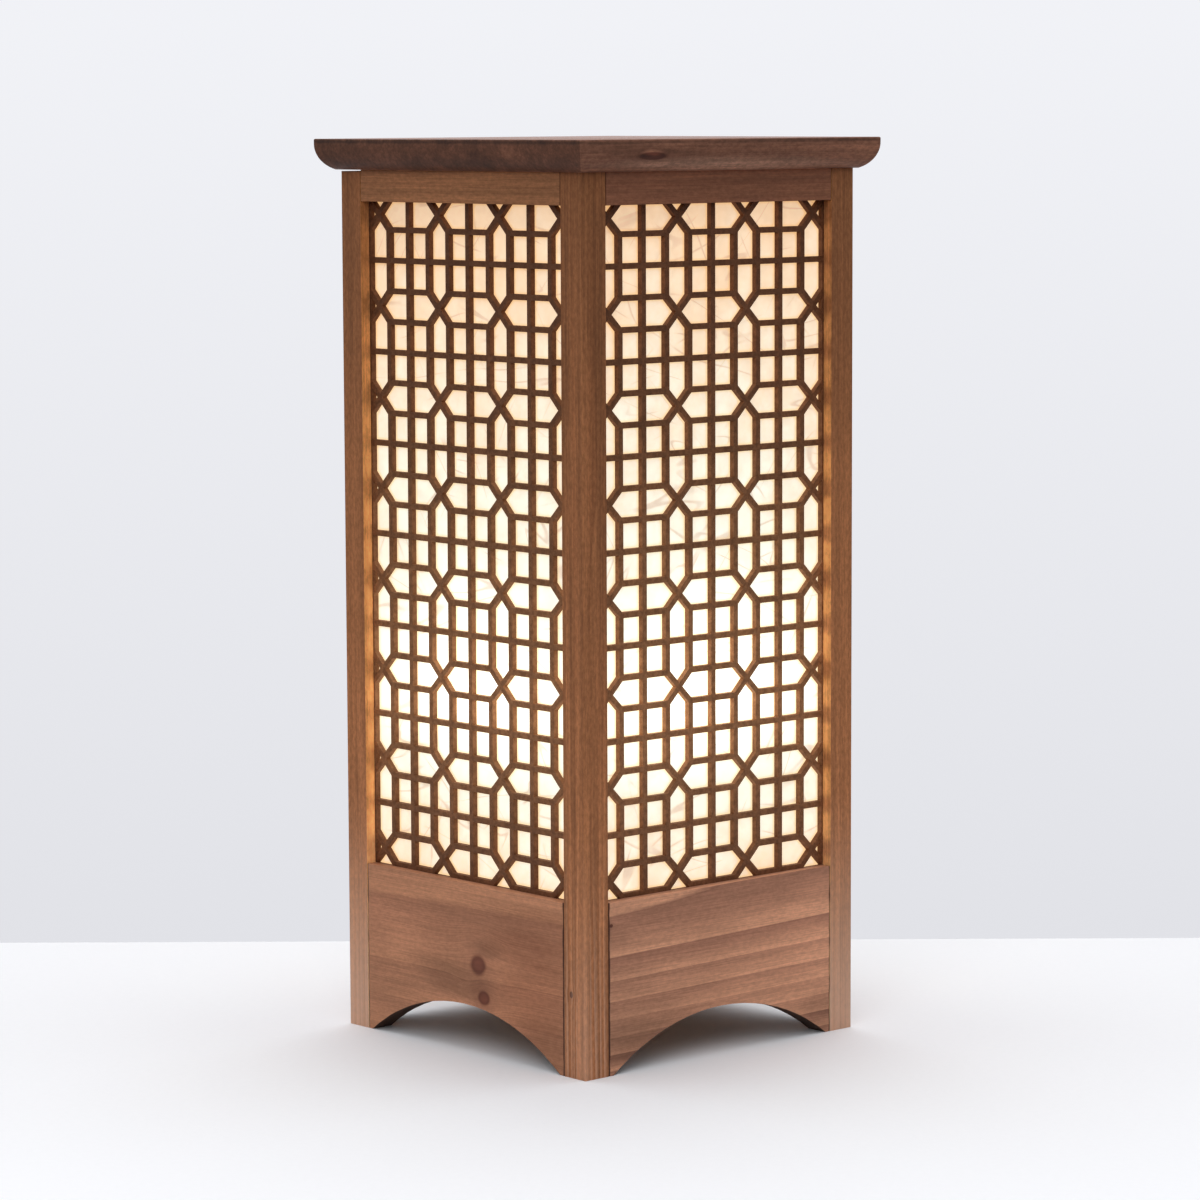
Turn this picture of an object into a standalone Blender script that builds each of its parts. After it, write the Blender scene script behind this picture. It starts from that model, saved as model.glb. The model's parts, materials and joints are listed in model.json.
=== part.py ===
"""A square paper lamp: a wooden lantern with a lattice window backed by paper on each side.

Four grooved corner posts are joined by top rails and arched bottom panels, which hold a lattice
and a sheet of paper on each side. A moulded top board lifts off. A base board inside carries a
lamp holder and a screw-in bulb. Lengths are metres, +Z is up, and the origin is on the floor,
under the middle of the lamp. The front side faces -Y.
"""

import math

import bmesh
import bpy
from mathutils import Matrix

# Gaps between pieces
CLEARANCE = 0.0003
JOINT_GAP = 0.0004
LID_PLAY = 0.0008

# Frame
BODY_WIDTH = 0.180
FRAME_HEIGHT = 0.4325
POST_WIDTH = 0.015
POST_CORNER_RADIUS = 0.0006
LOW_POST = "front_left"
LOW_POST_DROP = 0.0007
RAIL_HEIGHT = 0.0155
RAIL_THICKNESS = 0.015
PANEL_HEIGHT = 0.0845
PANEL_THICKNESS = 0.012
ARCH_FOOT = 0.003
ARCH_RISE = 0.024
GROOVE_DEPTH = 0.0035

# Lattice and paper
LATTICE_COLUMNS = 10
LATTICE_ROWS = 22
CROSS_SPACING = 3
LATTICE_RECESS = 0.00575
LATTICE_THICKNESS = 0.0028
LATTICE_BAR = 0.0028
SIDE_BAR_SHOWS = 0.00075
TOP_BAR_SHOWS = 0.00025
BOTTOM_BAR_SHOWS = 0.00215
HIDDEN_STRIP_DROP = 0.0004
PAPER_THICKNESS = 0.0003

# Lid
TOP_WIDTH = 0.199
TOP_THICKNESS = 0.015
TOP_LAND = 0.0025
TOP_EDGE_SWEEP = math.radians(70)
TOP_EDGE_INSET = 0.0077
BATTEN_SIZE = 0.010

# Base
BASE_HEIGHT = 0.066
BASE_THICKNESS = 0.006
CLEAT_SIZE = 0.010
CLEAT_END_GAP = 0.008
GROMMET_OFFSET = 0.045
GROMMET_BORE_RADIUS = 0.0034
GROMMET_WALL = 0.0018
GROMMET_FLANGE = 0.0022
GROMMET_FLANGE_THICKNESS = 0.0015

# Lamp holder
HOLDER_HEIGHT = 0.038
HOLDER_FLOOR = 0.010
HOLDER_WALL = 0.005
HOLDER_FLANGE_WIDTH = 0.0085
HOLDER_FLANGE_THICKNESS = 0.008
SHELL_WALL = 0.0005
SHELL_TOP_DROP = 0.004
THREAD_PLAY = 0.0006
SPRING_RISE = 0.0045
SPRING_THICKNESS = 0.0005
SPRING_WIDTH = 0.007
SPRING_REACH = 0.010
SCREW_RADIUS = 0.00175
SCREW_HEAD_RADIUS = 0.0033
SCREW_HEAD_HEIGHT = 0.0022
SCREW_CROWN_RADIUS = 0.0020
SCREW_BITE = 0.004

# Bulb
CAP_RADIUS = 0.0130
CAP_WALL = 0.0005
CAP_LENGTH = 0.0185
TIP_RADIUS = 0.0045
TIP_HEIGHT = 0.0020
TIP_FLAT_RADIUS = 0.0030
INSULATOR_HEIGHT = 0.0035
HOUSING_HEIGHT = 0.034
HOUSING_TOP_RADIUS = 0.029
HOUSING_RIM = 0.003
HOUSING_FLARE_POWER = 1.5
LED_BOARD_RADIUS = 0.024
LED_BOARD_THICKNESS = 0.0016
DOME_HEIGHT = 0.050
DOME_WALL = 0.0012

# Fineness of round shapes
ARCH_SEGMENTS = 20
CORNER_SEGMENTS = 4
MOULDING_SEGMENTS = 7
SMALL_ROUND_SEGMENTS = 16
ROUND_SEGMENTS = 24
DOME_RINGS = 7

SIDES = ("front", "right", "back", "left")
POSTS = ("front_right", "back_right", "back_left", "front_left")
QUARTER_TURN = math.pi / 2
UPRIGHT = (QUARTER_TURN, 0.0, 0.0)

# Sizes that follow from the driving dimensions
HALF = BODY_WIDTH / 2
POST_INNER = HALF - POST_WIDTH
OPENING_WIDTH = 2 * POST_INNER
OPENING_BOTTOM = PANEL_HEIGHT
OPENING_TOP = FRAME_HEIGHT - RAIL_HEIGHT
OPENING_HEIGHT = OPENING_TOP - OPENING_BOTTOM
MEMBER_LENGTH = OPENING_WIDTH - 2 * JOINT_GAP
LOW_POST_HEIGHT = FRAME_HEIGHT - LOW_POST_DROP
PAPER_FRONT = LATTICE_RECESS + LATTICE_THICKNESS + CLEARANCE
PAPER_BACK = PAPER_FRONT + PAPER_THICKNESS
GROOVE_FRONT = LATTICE_RECESS - CLEARANCE
GROOVE_BACK = PAPER_BACK + CLEARANCE
SHEET_EDGE = GROOVE_DEPTH - CLEARANCE
SHEET_WIDTH = OPENING_WIDTH + 2 * SHEET_EDGE
SHEET_HEIGHT = OPENING_HEIGHT + 2 * SHEET_EDGE
SHEET_MIDDLE = (OPENING_BOTTOM + OPENING_TOP) / 2
LID_BOTTOM = FRAME_HEIGHT + CLEARANCE
LID_INNER = HALF - max(POST_WIDTH, RAIL_THICKNESS) - LID_PLAY
PANEL_INNER = HALF - PANEL_THICKNESS
BASE_INNER = min(POST_INNER, PANEL_INNER) - JOINT_GAP
BASE_TOP = BASE_HEIGHT + BASE_THICKNESS
HOLDER_BOTTOM = BASE_TOP + CLEARANCE
SHELL_INNER_RADIUS = CAP_RADIUS + THREAD_PLAY
SHELL_OUTER_RADIUS = SHELL_INNER_RADIUS + SHELL_WALL
HOLDER_INNER_RADIUS = SHELL_OUTER_RADIUS + CLEARANCE
HOLDER_OUTER_RADIUS = HOLDER_INNER_RADIUS + HOLDER_WALL
FLANGE_RADIUS = HOLDER_OUTER_RADIUS + HOLDER_FLANGE_WIDTH
SCREW_CIRCLE = (HOLDER_OUTER_RADIUS + FLANGE_RADIUS) / 2
SCREW_HOLE_RADIUS = SCREW_RADIUS + CLEARANCE
SPRING_BOTTOM = HOLDER_BOTTOM + HOLDER_FLOOR + CLEARANCE
BULB_BOTTOM = SPRING_BOTTOM + SPRING_RISE + CLEARANCE
INSULATOR_BOTTOM = BULB_BOTTOM + TIP_HEIGHT + CLEARANCE
CAP_BOTTOM = INSULATOR_BOTTOM + INSULATOR_HEIGHT + CLEARANCE
HOUSING_BOTTOM = CAP_BOTTOM + CAP_LENGTH + CLEARANCE
HOUSING_TOP = HOUSING_BOTTOM + HOUSING_HEIGHT
LED_BOARD_BOTTOM = HOUSING_TOP + CLEARANCE
GROMMET_WAIST_RADIUS = GROMMET_BORE_RADIUS + GROMMET_WALL
GROMMET_FLANGE_RADIUS = GROMMET_WAIST_RADIUS + GROMMET_FLANGE


# Making and placing objects

def clear_scene():
    for old in list(bpy.data.objects):
        bpy.data.objects.remove(old, do_unlink=True)


def new_collection(name):
    collection = bpy.data.collections.new(name)
    bpy.context.scene.collection.children.link(collection)
    return collection


def new_material(name, colour, roughness, metallic=0.0):
    material = bpy.data.materials.new(name)
    material.use_nodes = True
    shader = material.node_tree.nodes["Principled BSDF"]
    shader.inputs["Base Color"].default_value = (*colour, 1.0)
    shader.inputs["Roughness"].default_value = roughness
    shader.inputs["Metallic"].default_value = metallic
    return material


def new_object(name, data, collection):
    made = bpy.data.objects.new(name, data)
    collection.objects.link(made)
    return made


def place(name, mesh, material, collection, location=(0, 0, 0), rotation=(0, 0, 0), parent=None):
    """One named piece, standing where its parent's frame says."""
    if not mesh.materials:
        mesh.materials.append(material)
    made = new_object(name, mesh, collection)
    made.location = location
    made.rotation_euler = rotation
    made.parent = parent
    return made


def new_empty(name, collection, turn=0.0, location=(0, 0, 0)):
    empty = new_object(name, None, collection)
    empty.rotation_euler = (0, 0, turn)
    empty.location = location
    return empty


def evaluated_mesh(source):
    """The object's shape as a mesh of its own, with loose caps welded and faces pointing out."""
    bpy.context.view_layer.update()
    graph = bpy.context.evaluated_depsgraph_get()
    mesh = bpy.data.meshes.new_from_object(source.evaluated_get(graph))
    shape = bmesh.new()
    shape.from_mesh(mesh)
    bmesh.ops.remove_doubles(shape, verts=shape.verts, dist=1e-6)
    bmesh.ops.recalc_face_normals(shape, faces=shape.faces)
    shape.to_mesh(mesh)
    shape.free()
    mesh.materials.clear()
    return mesh


# Shapes

def box_mesh(low, high):
    """A box between two corners."""
    size = [top - bottom for bottom, top in zip(low, high)]
    middle = [(top + bottom) / 2 for bottom, top in zip(low, high)]
    stretch = Matrix.Translation(middle) @ Matrix.Diagonal((*size, 1.0))
    mesh = bpy.data.meshes.new("box")
    shape = bmesh.new()
    bmesh.ops.create_cube(shape, size=1.0, matrix=stretch)
    shape.to_mesh(mesh)
    shape.free()
    return mesh


def rod_mesh(radius, bottom, top, segments, offset=(0.0, 0.0)):
    """A round rod along Z."""
    mesh = bpy.data.meshes.new("rod")
    shape = bmesh.new()
    middle = Matrix.Translation((*offset, (bottom + top) / 2))
    bmesh.ops.create_cone(
        shape,
        cap_ends=True,
        segments=segments,
        radius1=radius,
        radius2=radius,
        depth=top - bottom,
        matrix=middle,
    )
    shape.to_mesh(mesh)
    shape.free()
    return mesh


def plate_mesh(outlines, thickness):
    """A flat plate in the XY plane, centred on it; outlines inside the first one are holes."""
    curve = bpy.data.curves.new("plate", "CURVE")
    curve.dimensions = "2D"
    curve.fill_mode = "BOTH"
    curve.extrude = thickness / 2
    for outline in outlines:
        spline = curve.splines.new("POLY")
        spline.points.add(len(outline) - 1)
        for point, (x, y) in zip(spline.points, outline):
            point.co = (x, y, 0, 1)
        spline.use_cyclic_u = True
    guide = bpy.data.objects.new("plate", curve)
    bpy.context.scene.collection.objects.link(guide)
    mesh = evaluated_mesh(guide)
    bpy.data.objects.remove(guide, do_unlink=True)
    return mesh


def combined_mesh(base, cuts=(), joins=()):
    """The base mesh with the joins added to it, and then the cuts taken out."""
    solid = new_object("solid", base, bpy.context.scene.collection)
    steps = [(mesh, "UNION") for mesh in joins] + [(mesh, "DIFFERENCE") for mesh in cuts]
    tools = []
    for mesh, operation in steps:
        tool = new_object("tool", mesh, bpy.context.scene.collection)
        tools.append(tool)
        boolean = solid.modifiers.new(operation, "BOOLEAN")
        boolean.operation = operation
        boolean.object = tool
    mesh = evaluated_mesh(solid)
    for helper in [solid, *tools]:
        bpy.data.objects.remove(helper, do_unlink=True)
    return mesh


def turned_mesh(profile, segments, closed=False):
    """A profile of (radius, height) points turned about Z; it runs down its outer side."""
    outline = bpy.data.meshes.new("profile")
    count = len(profile)
    edges = [(i, i + 1) for i in range(count - 1)]
    if closed:
        edges.append((count - 1, 0))
    outline.from_pydata([(radius, 0, height) for radius, height in profile], edges, [])
    guide = new_object("turned", outline, bpy.context.scene.collection)
    screw = guide.modifiers.new("turn", "SCREW")
    screw.angle = 2 * math.pi
    screw.steps = segments
    screw.render_steps = segments
    screw.use_merge_vertices = True
    screw.merge_threshold = 1e-6
    mesh = evaluated_mesh(guide)
    bpy.data.objects.remove(guide, do_unlink=True)
    return mesh


def smooth(mesh):
    mesh.shade_smooth()
    mesh.set_sharp_from_angle(angle=math.radians(35))
    return mesh


def arc_points(centre, radius, start, end, segments):
    """Points along an arc, both ends included."""
    points = []
    for step in range(segments + 1):
        angle = start + (end - start) * step / segments
        points.append((centre[0] + radius * math.cos(angle), centre[1] + radius * math.sin(angle)))
    return points


# Frame

def post_mesh(height):
    """The front right post: a square section with an eased outer corner and a groove on two sides."""
    groove_end = POST_INNER + GROOVE_DEPTH
    turn = HALF - POST_CORNER_RADIUS
    outline = [
        (POST_INNER, -POST_INNER),
        (HALF - GROOVE_BACK, -POST_INNER),
        (HALF - GROOVE_BACK, -groove_end),
        (HALF - GROOVE_FRONT, -groove_end),
        (HALF - GROOVE_FRONT, -POST_INNER),
        (HALF, -POST_INNER),
    ]
    outline += arc_points((turn, -turn), POST_CORNER_RADIUS, 0, -QUARTER_TURN, CORNER_SEGMENTS)
    outline += [
        (POST_INNER, -HALF),
        (POST_INNER, -HALF + GROOVE_FRONT),
        (groove_end, -HALF + GROOVE_FRONT),
        (groove_end, -HALF + GROOVE_BACK),
        (POST_INNER, -HALF + GROOVE_BACK),
    ]
    return plate_mesh([outline], height)


def tongue_meshes(bottom, top):
    """The tongues on a member's ends, which sit in the posts' grooves, for the front side."""
    root = MEMBER_LENGTH / 2 - JOINT_GAP
    tip = POST_INNER + SHEET_EDGE
    front = -HALF + LATTICE_RECESS
    back = -HALF + PAPER_BACK
    right = box_mesh((root, front, bottom), (tip, back, top))
    left = box_mesh((-tip, front, bottom), (-root, back, top))
    return [right, left]


def groove_mesh(bottom, top):
    """The cut for the lattice and paper along a member of the front side."""
    reach = POST_INNER + GROOVE_DEPTH + CLEARANCE
    return box_mesh((-reach, -HALF + GROOVE_FRONT, bottom), (reach, -HALF + GROOVE_BACK, top))


def rail_mesh():
    length = MEMBER_LENGTH / 2
    rail = box_mesh((-length, -HALF, OPENING_TOP), (length, -HALF + RAIL_THICKNESS, FRAME_HEIGHT))
    groove_top = OPENING_TOP + GROOVE_DEPTH
    groove = groove_mesh(OPENING_TOP - GROOVE_DEPTH, groove_top)
    tongues = tongue_meshes(groove_top - CLEARANCE, LOW_POST_HEIGHT)
    return combined_mesh(rail, cuts=[groove], joins=tongues)


def panel_mesh():
    """A bottom panel: its lower edge is an arch between two short feet."""
    length = MEMBER_LENGTH / 2
    arch_half = length - ARCH_FOOT
    arch_radius = (arch_half**2 + ARCH_RISE**2) / (2 * ARCH_RISE)
    arch_middle = ARCH_RISE - arch_radius
    sweep = math.asin(arch_half / arch_radius)
    outline = [(length, 0), (length, PANEL_HEIGHT), (-length, PANEL_HEIGHT), (-length, 0)]
    outline += arc_points(
        (0, arch_middle), arch_radius, QUARTER_TURN + sweep, QUARTER_TURN - sweep, ARCH_SEGMENTS
    )
    panel = plate_mesh([outline], PANEL_THICKNESS)
    panel.transform(Matrix.Rotation(QUARTER_TURN, 4, "X"))
    panel.transform(Matrix.Translation((0, -HALF + PANEL_THICKNESS / 2, 0)))
    groove_bottom = PANEL_HEIGHT - GROOVE_DEPTH
    groove = groove_mesh(groove_bottom, PANEL_HEIGHT + GROOVE_DEPTH)
    return combined_mesh(panel, cuts=[groove], joins=tongue_meshes(0, groove_bottom + CLEARANCE))


# Lattice and paper

def inset(corners, insets):
    """A convex outline, anticlockwise, with each edge moved inwards by its own distance."""
    lines = []
    for index, (x, y) in enumerate(corners):
        next_x, next_y = corners[(index + 1) % len(corners)]
        length = math.hypot(next_x - x, next_y - y)
        along = ((next_x - x) / length, (next_y - y) / length)
        lines.append((x - along[1] * insets[index], y + along[0] * insets[index], *along))
    points = []
    for index, (x, y, along_x, along_y) in enumerate(lines):
        other_x, other_y, other_along_x, other_along_y = lines[index - 1]
        turn = other_along_x * along_y - other_along_y * along_x
        step = ((x - other_x) * along_y - (y - other_y) * along_x) / turn
        points.append((other_x + step * other_along_x, other_y + step * other_along_y))
    return points


def lattice_holes():
    """The openings between the bars: squares, which reach into each crossed cell as a point."""
    pitch_x = (OPENING_WIDTH - 2 * SIDE_BAR_SHOWS + LATTICE_BAR) / LATTICE_COLUMNS
    pitch_y = (OPENING_HEIGHT - TOP_BAR_SHOWS - BOTTOM_BAR_SHOWS + LATTICE_BAR) / LATTICE_ROWS
    left = -LATTICE_COLUMNS * pitch_x / 2
    top = OPENING_HEIGHT / 2 - TOP_BAR_SHOWS + LATTICE_BAR / 2
    bottom = top - LATTICE_ROWS * pitch_y
    strip_top = -OPENING_HEIGHT / 2 - HIDDEN_STRIP_DROP
    half_bar = LATTICE_BAR / 2

    def crossed(column, row):
        inside = 0 <= column < LATTICE_COLUMNS and 0 <= row < LATTICE_ROWS
        return inside and column % CROSS_SPACING == 0 and row % CROSS_SPACING == 0

    def corner(column, row):
        return (left + column * pitch_x, top - row * pitch_y)

    def cell_sides(column, row):
        """Each side of a cell, anticlockwise: its two ends and the cell beyond it."""
        return (
            (corner(column, row + 1), corner(column + 1, row + 1), (column, row + 1)),
            (corner(column + 1, row + 1), corner(column + 1, row), (column + 1, row)),
            (corner(column + 1, row), corner(column, row), (column, row - 1)),
            (corner(column, row), corner(column, row + 1), (column - 1, row)),
        )

    def border_inset(beyond):
        """Under a cross the opening runs down to a strip that the bottom panel hides."""
        return strip_top - bottom if beyond[1] == LATTICE_ROWS else half_bar

    holes = []
    for column in range(LATTICE_COLUMNS):
        for row in range(LATTICE_ROWS):
            middle = corner(column + 0.5, row + 0.5)
            if crossed(column, row):
                for start, end, beyond in cell_sides(column, row):
                    if 0 <= beyond[0] < LATTICE_COLUMNS and 0 <= beyond[1] < LATTICE_ROWS:
                        continue
                    holes.append(inset([start, end, middle], [border_inset(beyond), half_bar, half_bar]))
                continue
            outline = []
            for start, end, beyond in cell_sides(column, row):
                outline.append(start)
                if crossed(*beyond):
                    outline.append(corner(beyond[0] + 0.5, beyond[1] + 0.5))
            holes.append(inset(outline, [half_bar] * len(outline)))
    return holes


def sheet_outline():
    half_width = SHEET_WIDTH / 2
    half_height = SHEET_HEIGHT / 2
    return [
        (half_width, -half_height),
        (half_width, half_height),
        (-half_width, half_height),
        (-half_width, -half_height),
    ]


# Lid

def top_board_mesh():
    """A square board whose edge curves in under it: a profile turned in four steps."""
    half = TOP_WIDTH / 2
    reach = TOP_EDGE_INSET / (1 - math.cos(TOP_EDGE_SWEEP))
    drop = (TOP_THICKNESS - TOP_LAND) / math.sin(TOP_EDGE_SWEEP)
    profile = [(0, TOP_THICKNESS), (half, TOP_THICKNESS)]
    for step in range(MOULDING_SEGMENTS + 1):
        angle = TOP_EDGE_SWEEP * step / MOULDING_SEGMENTS
        height = TOP_THICKNESS - TOP_LAND - drop * math.sin(angle)
        profile.append((half - reach * (1 - math.cos(angle)), height))
    profile.append((0, 0))
    corners = [(distance * math.sqrt(2), height) for distance, height in profile]
    board = turned_mesh(corners, len(SIDES))
    board.transform(Matrix.Rotation(QUARTER_TURN / 2, 4, "Z"))
    return board


def batten_mesh(length):
    return box_mesh(
        (-length / 2, -LID_INNER, FRAME_HEIGHT - BATTEN_SIZE),
        (length / 2, -LID_INNER + BATTEN_SIZE, FRAME_HEIGHT),
    )


# Base, lamp holder and bulb

def cleat_mesh():
    outer = PANEL_INNER - CLEARANCE
    length = outer - CLEAT_SIZE - CLEAT_END_GAP
    top = BASE_HEIGHT - CLEARANCE
    return box_mesh((-length, -outer, top - CLEAT_SIZE), (length, -outer + CLEAT_SIZE, top))


def screw_places():
    return ((SCREW_CIRCLE, 0.0), (-SCREW_CIRCLE, 0.0))


def base_board_mesh():
    board = box_mesh((-BASE_INNER, -BASE_INNER, BASE_HEIGHT), (BASE_INNER, BASE_INNER, BASE_TOP))
    low = BASE_HEIGHT - BASE_THICKNESS
    high = BASE_TOP + BASE_THICKNESS
    cord_hole = rod_mesh(
        GROMMET_WAIST_RADIUS + CLEARANCE, low, high, SMALL_ROUND_SEGMENTS, (0, GROMMET_OFFSET)
    )
    cuts = [cord_hole]
    for offset in screw_places():
        cuts.append(rod_mesh(SCREW_HOLE_RADIUS, low, high, SMALL_ROUND_SEGMENTS, offset))
    return combined_mesh(board, cuts=cuts)


def grommet_mesh():
    waist = BASE_THICKNESS / 2 + CLEARANCE
    end = waist + GROMMET_FLANGE_THICKNESS
    profile = [
        (GROMMET_BORE_RADIUS, end),
        (GROMMET_FLANGE_RADIUS, end),
        (GROMMET_FLANGE_RADIUS, waist),
        (GROMMET_WAIST_RADIUS, waist),
        (GROMMET_WAIST_RADIUS, -waist),
        (GROMMET_FLANGE_RADIUS, -waist),
        (GROMMET_FLANGE_RADIUS, -end),
        (GROMMET_BORE_RADIUS, -end),
    ]
    return smooth(turned_mesh(profile, SMALL_ROUND_SEGMENTS, closed=True))


def holder_body_mesh():
    """A porcelain cup on a flange, with two screw holes in the flange."""
    profile = [
        (0, HOLDER_FLOOR),
        (HOLDER_INNER_RADIUS, HOLDER_FLOOR),
        (HOLDER_INNER_RADIUS, HOLDER_HEIGHT),
        (HOLDER_OUTER_RADIUS, HOLDER_HEIGHT),
        (HOLDER_OUTER_RADIUS, HOLDER_FLANGE_THICKNESS),
        (FLANGE_RADIUS, HOLDER_FLANGE_THICKNESS),
        (FLANGE_RADIUS, 0),
        (0, 0),
    ]
    body = turned_mesh(profile, ROUND_SEGMENTS)
    cuts = []
    for offset in screw_places():
        cuts.append(
            rod_mesh(SCREW_HOLE_RADIUS, -HOLDER_FLOOR, HOLDER_HEIGHT, SMALL_ROUND_SEGMENTS, offset)
        )
    return smooth(combined_mesh(body, cuts=cuts))


def ring_mesh(inner, outer, height, segments):
    """A plain tube standing on the XY plane."""
    profile = [(inner, height), (outer, height), (outer, 0), (inner, 0)]
    return smooth(turned_mesh(profile, segments, closed=True))


def spring_mesh():
    """The bent strip that presses on the bulb's tip: a foot, a slope and a flat top."""
    thick = SPRING_THICKNESS
    rise = SPRING_RISE
    bend = SPRING_REACH / 2
    outline = [
        (-SPRING_REACH, 0),
        (-bend, 0),
        (0, rise - thick),
        (bend, rise - thick),
        (bend, rise),
        (-thick, rise),
        (-bend - thick, thick),
        (-SPRING_REACH, thick),
    ]
    strip = plate_mesh([outline], SPRING_WIDTH)
    strip.transform(Matrix.Rotation(QUARTER_TURN, 4, "X"))
    return strip


def screw_mesh():
    """A pan-head screw: its head rests on the flange and its point ends in the base board."""
    head = SCREW_HEAD_HEIGHT
    shank = HOLDER_FLANGE_THICKNESS + 2 * CLEARANCE + SCREW_BITE
    profile = [
        (0, head),
        (SCREW_CROWN_RADIUS, head),
        (SCREW_HEAD_RADIUS, head / 2),
        (SCREW_HEAD_RADIUS, 0),
        (SCREW_RADIUS, 0),
        (SCREW_RADIUS, -shank + SCREW_RADIUS),
        (0, -shank),
    ]
    return smooth(turned_mesh(profile, SMALL_ROUND_SEGMENTS))


def tip_mesh():
    profile = [(0, TIP_HEIGHT), (TIP_RADIUS, TIP_HEIGHT), (TIP_FLAT_RADIUS, 0), (0, 0)]
    return smooth(turned_mesh(profile, SMALL_ROUND_SEGMENTS))


def insulator_mesh():
    profile = [(0, INSULATOR_HEIGHT), (CAP_RADIUS - CAP_WALL, INSULATOR_HEIGHT), (TIP_RADIUS, 0), (0, 0)]
    return smooth(turned_mesh(profile, ROUND_SEGMENTS))


def cap_mesh():
    return ring_mesh(CAP_RADIUS - CAP_WALL, CAP_RADIUS, CAP_LENGTH, ROUND_SEGMENTS)


def housing_mesh():
    """The bulb's plastic body: a spigot inside the cap, flaring out to the dome."""
    spigot_radius = CAP_RADIUS - CAP_WALL - CLEARANCE
    flare_height = HOUSING_HEIGHT - HOUSING_RIM
    profile = [(0, HOUSING_HEIGHT), (HOUSING_TOP_RADIUS, HOUSING_HEIGHT)]
    for ring in range(DOME_RINGS + 1):
        share = ring / DOME_RINGS
        spread = abs(math.cos(share * QUARTER_TURN)) ** HOUSING_FLARE_POWER
        radius = CAP_RADIUS + (HOUSING_TOP_RADIUS - CAP_RADIUS) * spread
        profile.append((radius, flare_height * (1 - share)))
    profile += [(spigot_radius, 0), (spigot_radius, -CAP_LENGTH), (0, -CAP_LENGTH)]
    return smooth(turned_mesh(profile, ROUND_SEGMENTS))


def led_board_mesh():
    return rod_mesh(LED_BOARD_RADIUS, 0, LED_BOARD_THICKNESS, ROUND_SEGMENTS)


def dome_mesh():
    """The hollow diffuser, open below where the housing closes it."""
    outer = []
    inner = []
    inside_height = DOME_HEIGHT - DOME_WALL
    inside_radius = HOUSING_TOP_RADIUS - DOME_WALL
    for ring in range(DOME_RINGS + 1):
        angle = QUARTER_TURN * ring / DOME_RINGS
        outer.append((HOUSING_TOP_RADIUS * math.sin(angle), DOME_HEIGHT * math.cos(angle)))
        inner.append((inside_radius * math.sin(angle), inside_height * math.cos(angle)))
    return smooth(turned_mesh(outer + inner[::-1], ROUND_SEGMENTS))


# The assembly

def build_frame(collection, sides):
    post_wood = new_material("post_wood", (0.30, 0.15, 0.075), 0.55)
    rail_wood = new_material("rail_wood", (0.27, 0.13, 0.065), 0.55)
    panel_wood = new_material("panel_wood", (0.33, 0.17, 0.09), 0.55)
    for quarter, name in enumerate(POSTS):
        height = LOW_POST_HEIGHT if name == LOW_POST else FRAME_HEIGHT
        place(
            f"{name}_post",
            post_mesh(height),
            post_wood,
            collection,
            location=(0, 0, height / 2),
            rotation=(0, 0, quarter * QUARTER_TURN),
        )
    rail = rail_mesh()
    panel = panel_mesh()
    for name, side in sides.items():
        place(f"{name}_top_rail", rail, rail_wood, collection, parent=side)
        place(f"{name}_bottom_panel", panel, panel_wood, collection, parent=side)


def build_windows(collection, sides):
    lattice_wood = new_material("lattice_wood", (0.10, 0.05, 0.03), 0.6)
    paper_sheet = new_material("paper_sheet", (0.95, 0.88, 0.74), 0.9)
    lattice = plate_mesh([sheet_outline()] + lattice_holes(), LATTICE_THICKNESS)
    paper = plate_mesh([sheet_outline()], PAPER_THICKNESS)
    lattice_depth = LATTICE_RECESS + LATTICE_THICKNESS / 2
    paper_depth = PAPER_FRONT + PAPER_THICKNESS / 2
    for name, side in sides.items():
        place(
            f"{name}_lattice",
            lattice,
            lattice_wood,
            collection,
            location=(0, -HALF + lattice_depth, SHEET_MIDDLE),
            rotation=UPRIGHT,
            parent=side,
        )
        place(
            f"{name}_paper",
            paper,
            paper_sheet,
            collection,
            location=(0, -HALF + paper_depth, SHEET_MIDDLE),
            rotation=UPRIGHT,
            parent=side,
        )


def build_lid(collection):
    top_wood = new_material("top_wood", (0.16, 0.085, 0.055), 0.5)
    batten_wood = new_material("batten_wood", (0.32, 0.18, 0.10), 0.65)
    lid = new_empty("lid", collection)
    place("top_board", top_board_mesh(), top_wood, collection, location=(0, 0, LID_BOTTOM), parent=lid)
    long_batten = batten_mesh(2 * LID_INNER)
    short_batten = batten_mesh(2 * (LID_INNER - BATTEN_SIZE - CLEARANCE))
    for quarter, name in enumerate(SIDES):
        place(
            f"{name}_lid_batten",
            short_batten if quarter % 2 else long_batten,
            batten_wood,
            collection,
            rotation=(0, 0, quarter * QUARTER_TURN),
            parent=lid,
        )


def build_base(collection, sides):
    cleat_wood = new_material("cleat_wood", (0.32, 0.18, 0.10), 0.65)
    plywood = new_material("plywood", (0.55, 0.38, 0.22), 0.7)
    rubber = new_material("rubber", (0.02, 0.02, 0.02), 0.8)
    cleat = cleat_mesh()
    for name, side in sides.items():
        place(f"{name}_base_cleat", cleat, cleat_wood, collection, parent=side)
    place("base_board", base_board_mesh(), plywood, collection)
    grommet_place = (0, GROMMET_OFFSET, BASE_HEIGHT + BASE_THICKNESS / 2)
    place("cord_grommet", grommet_mesh(), rubber, collection, location=grommet_place)


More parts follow.
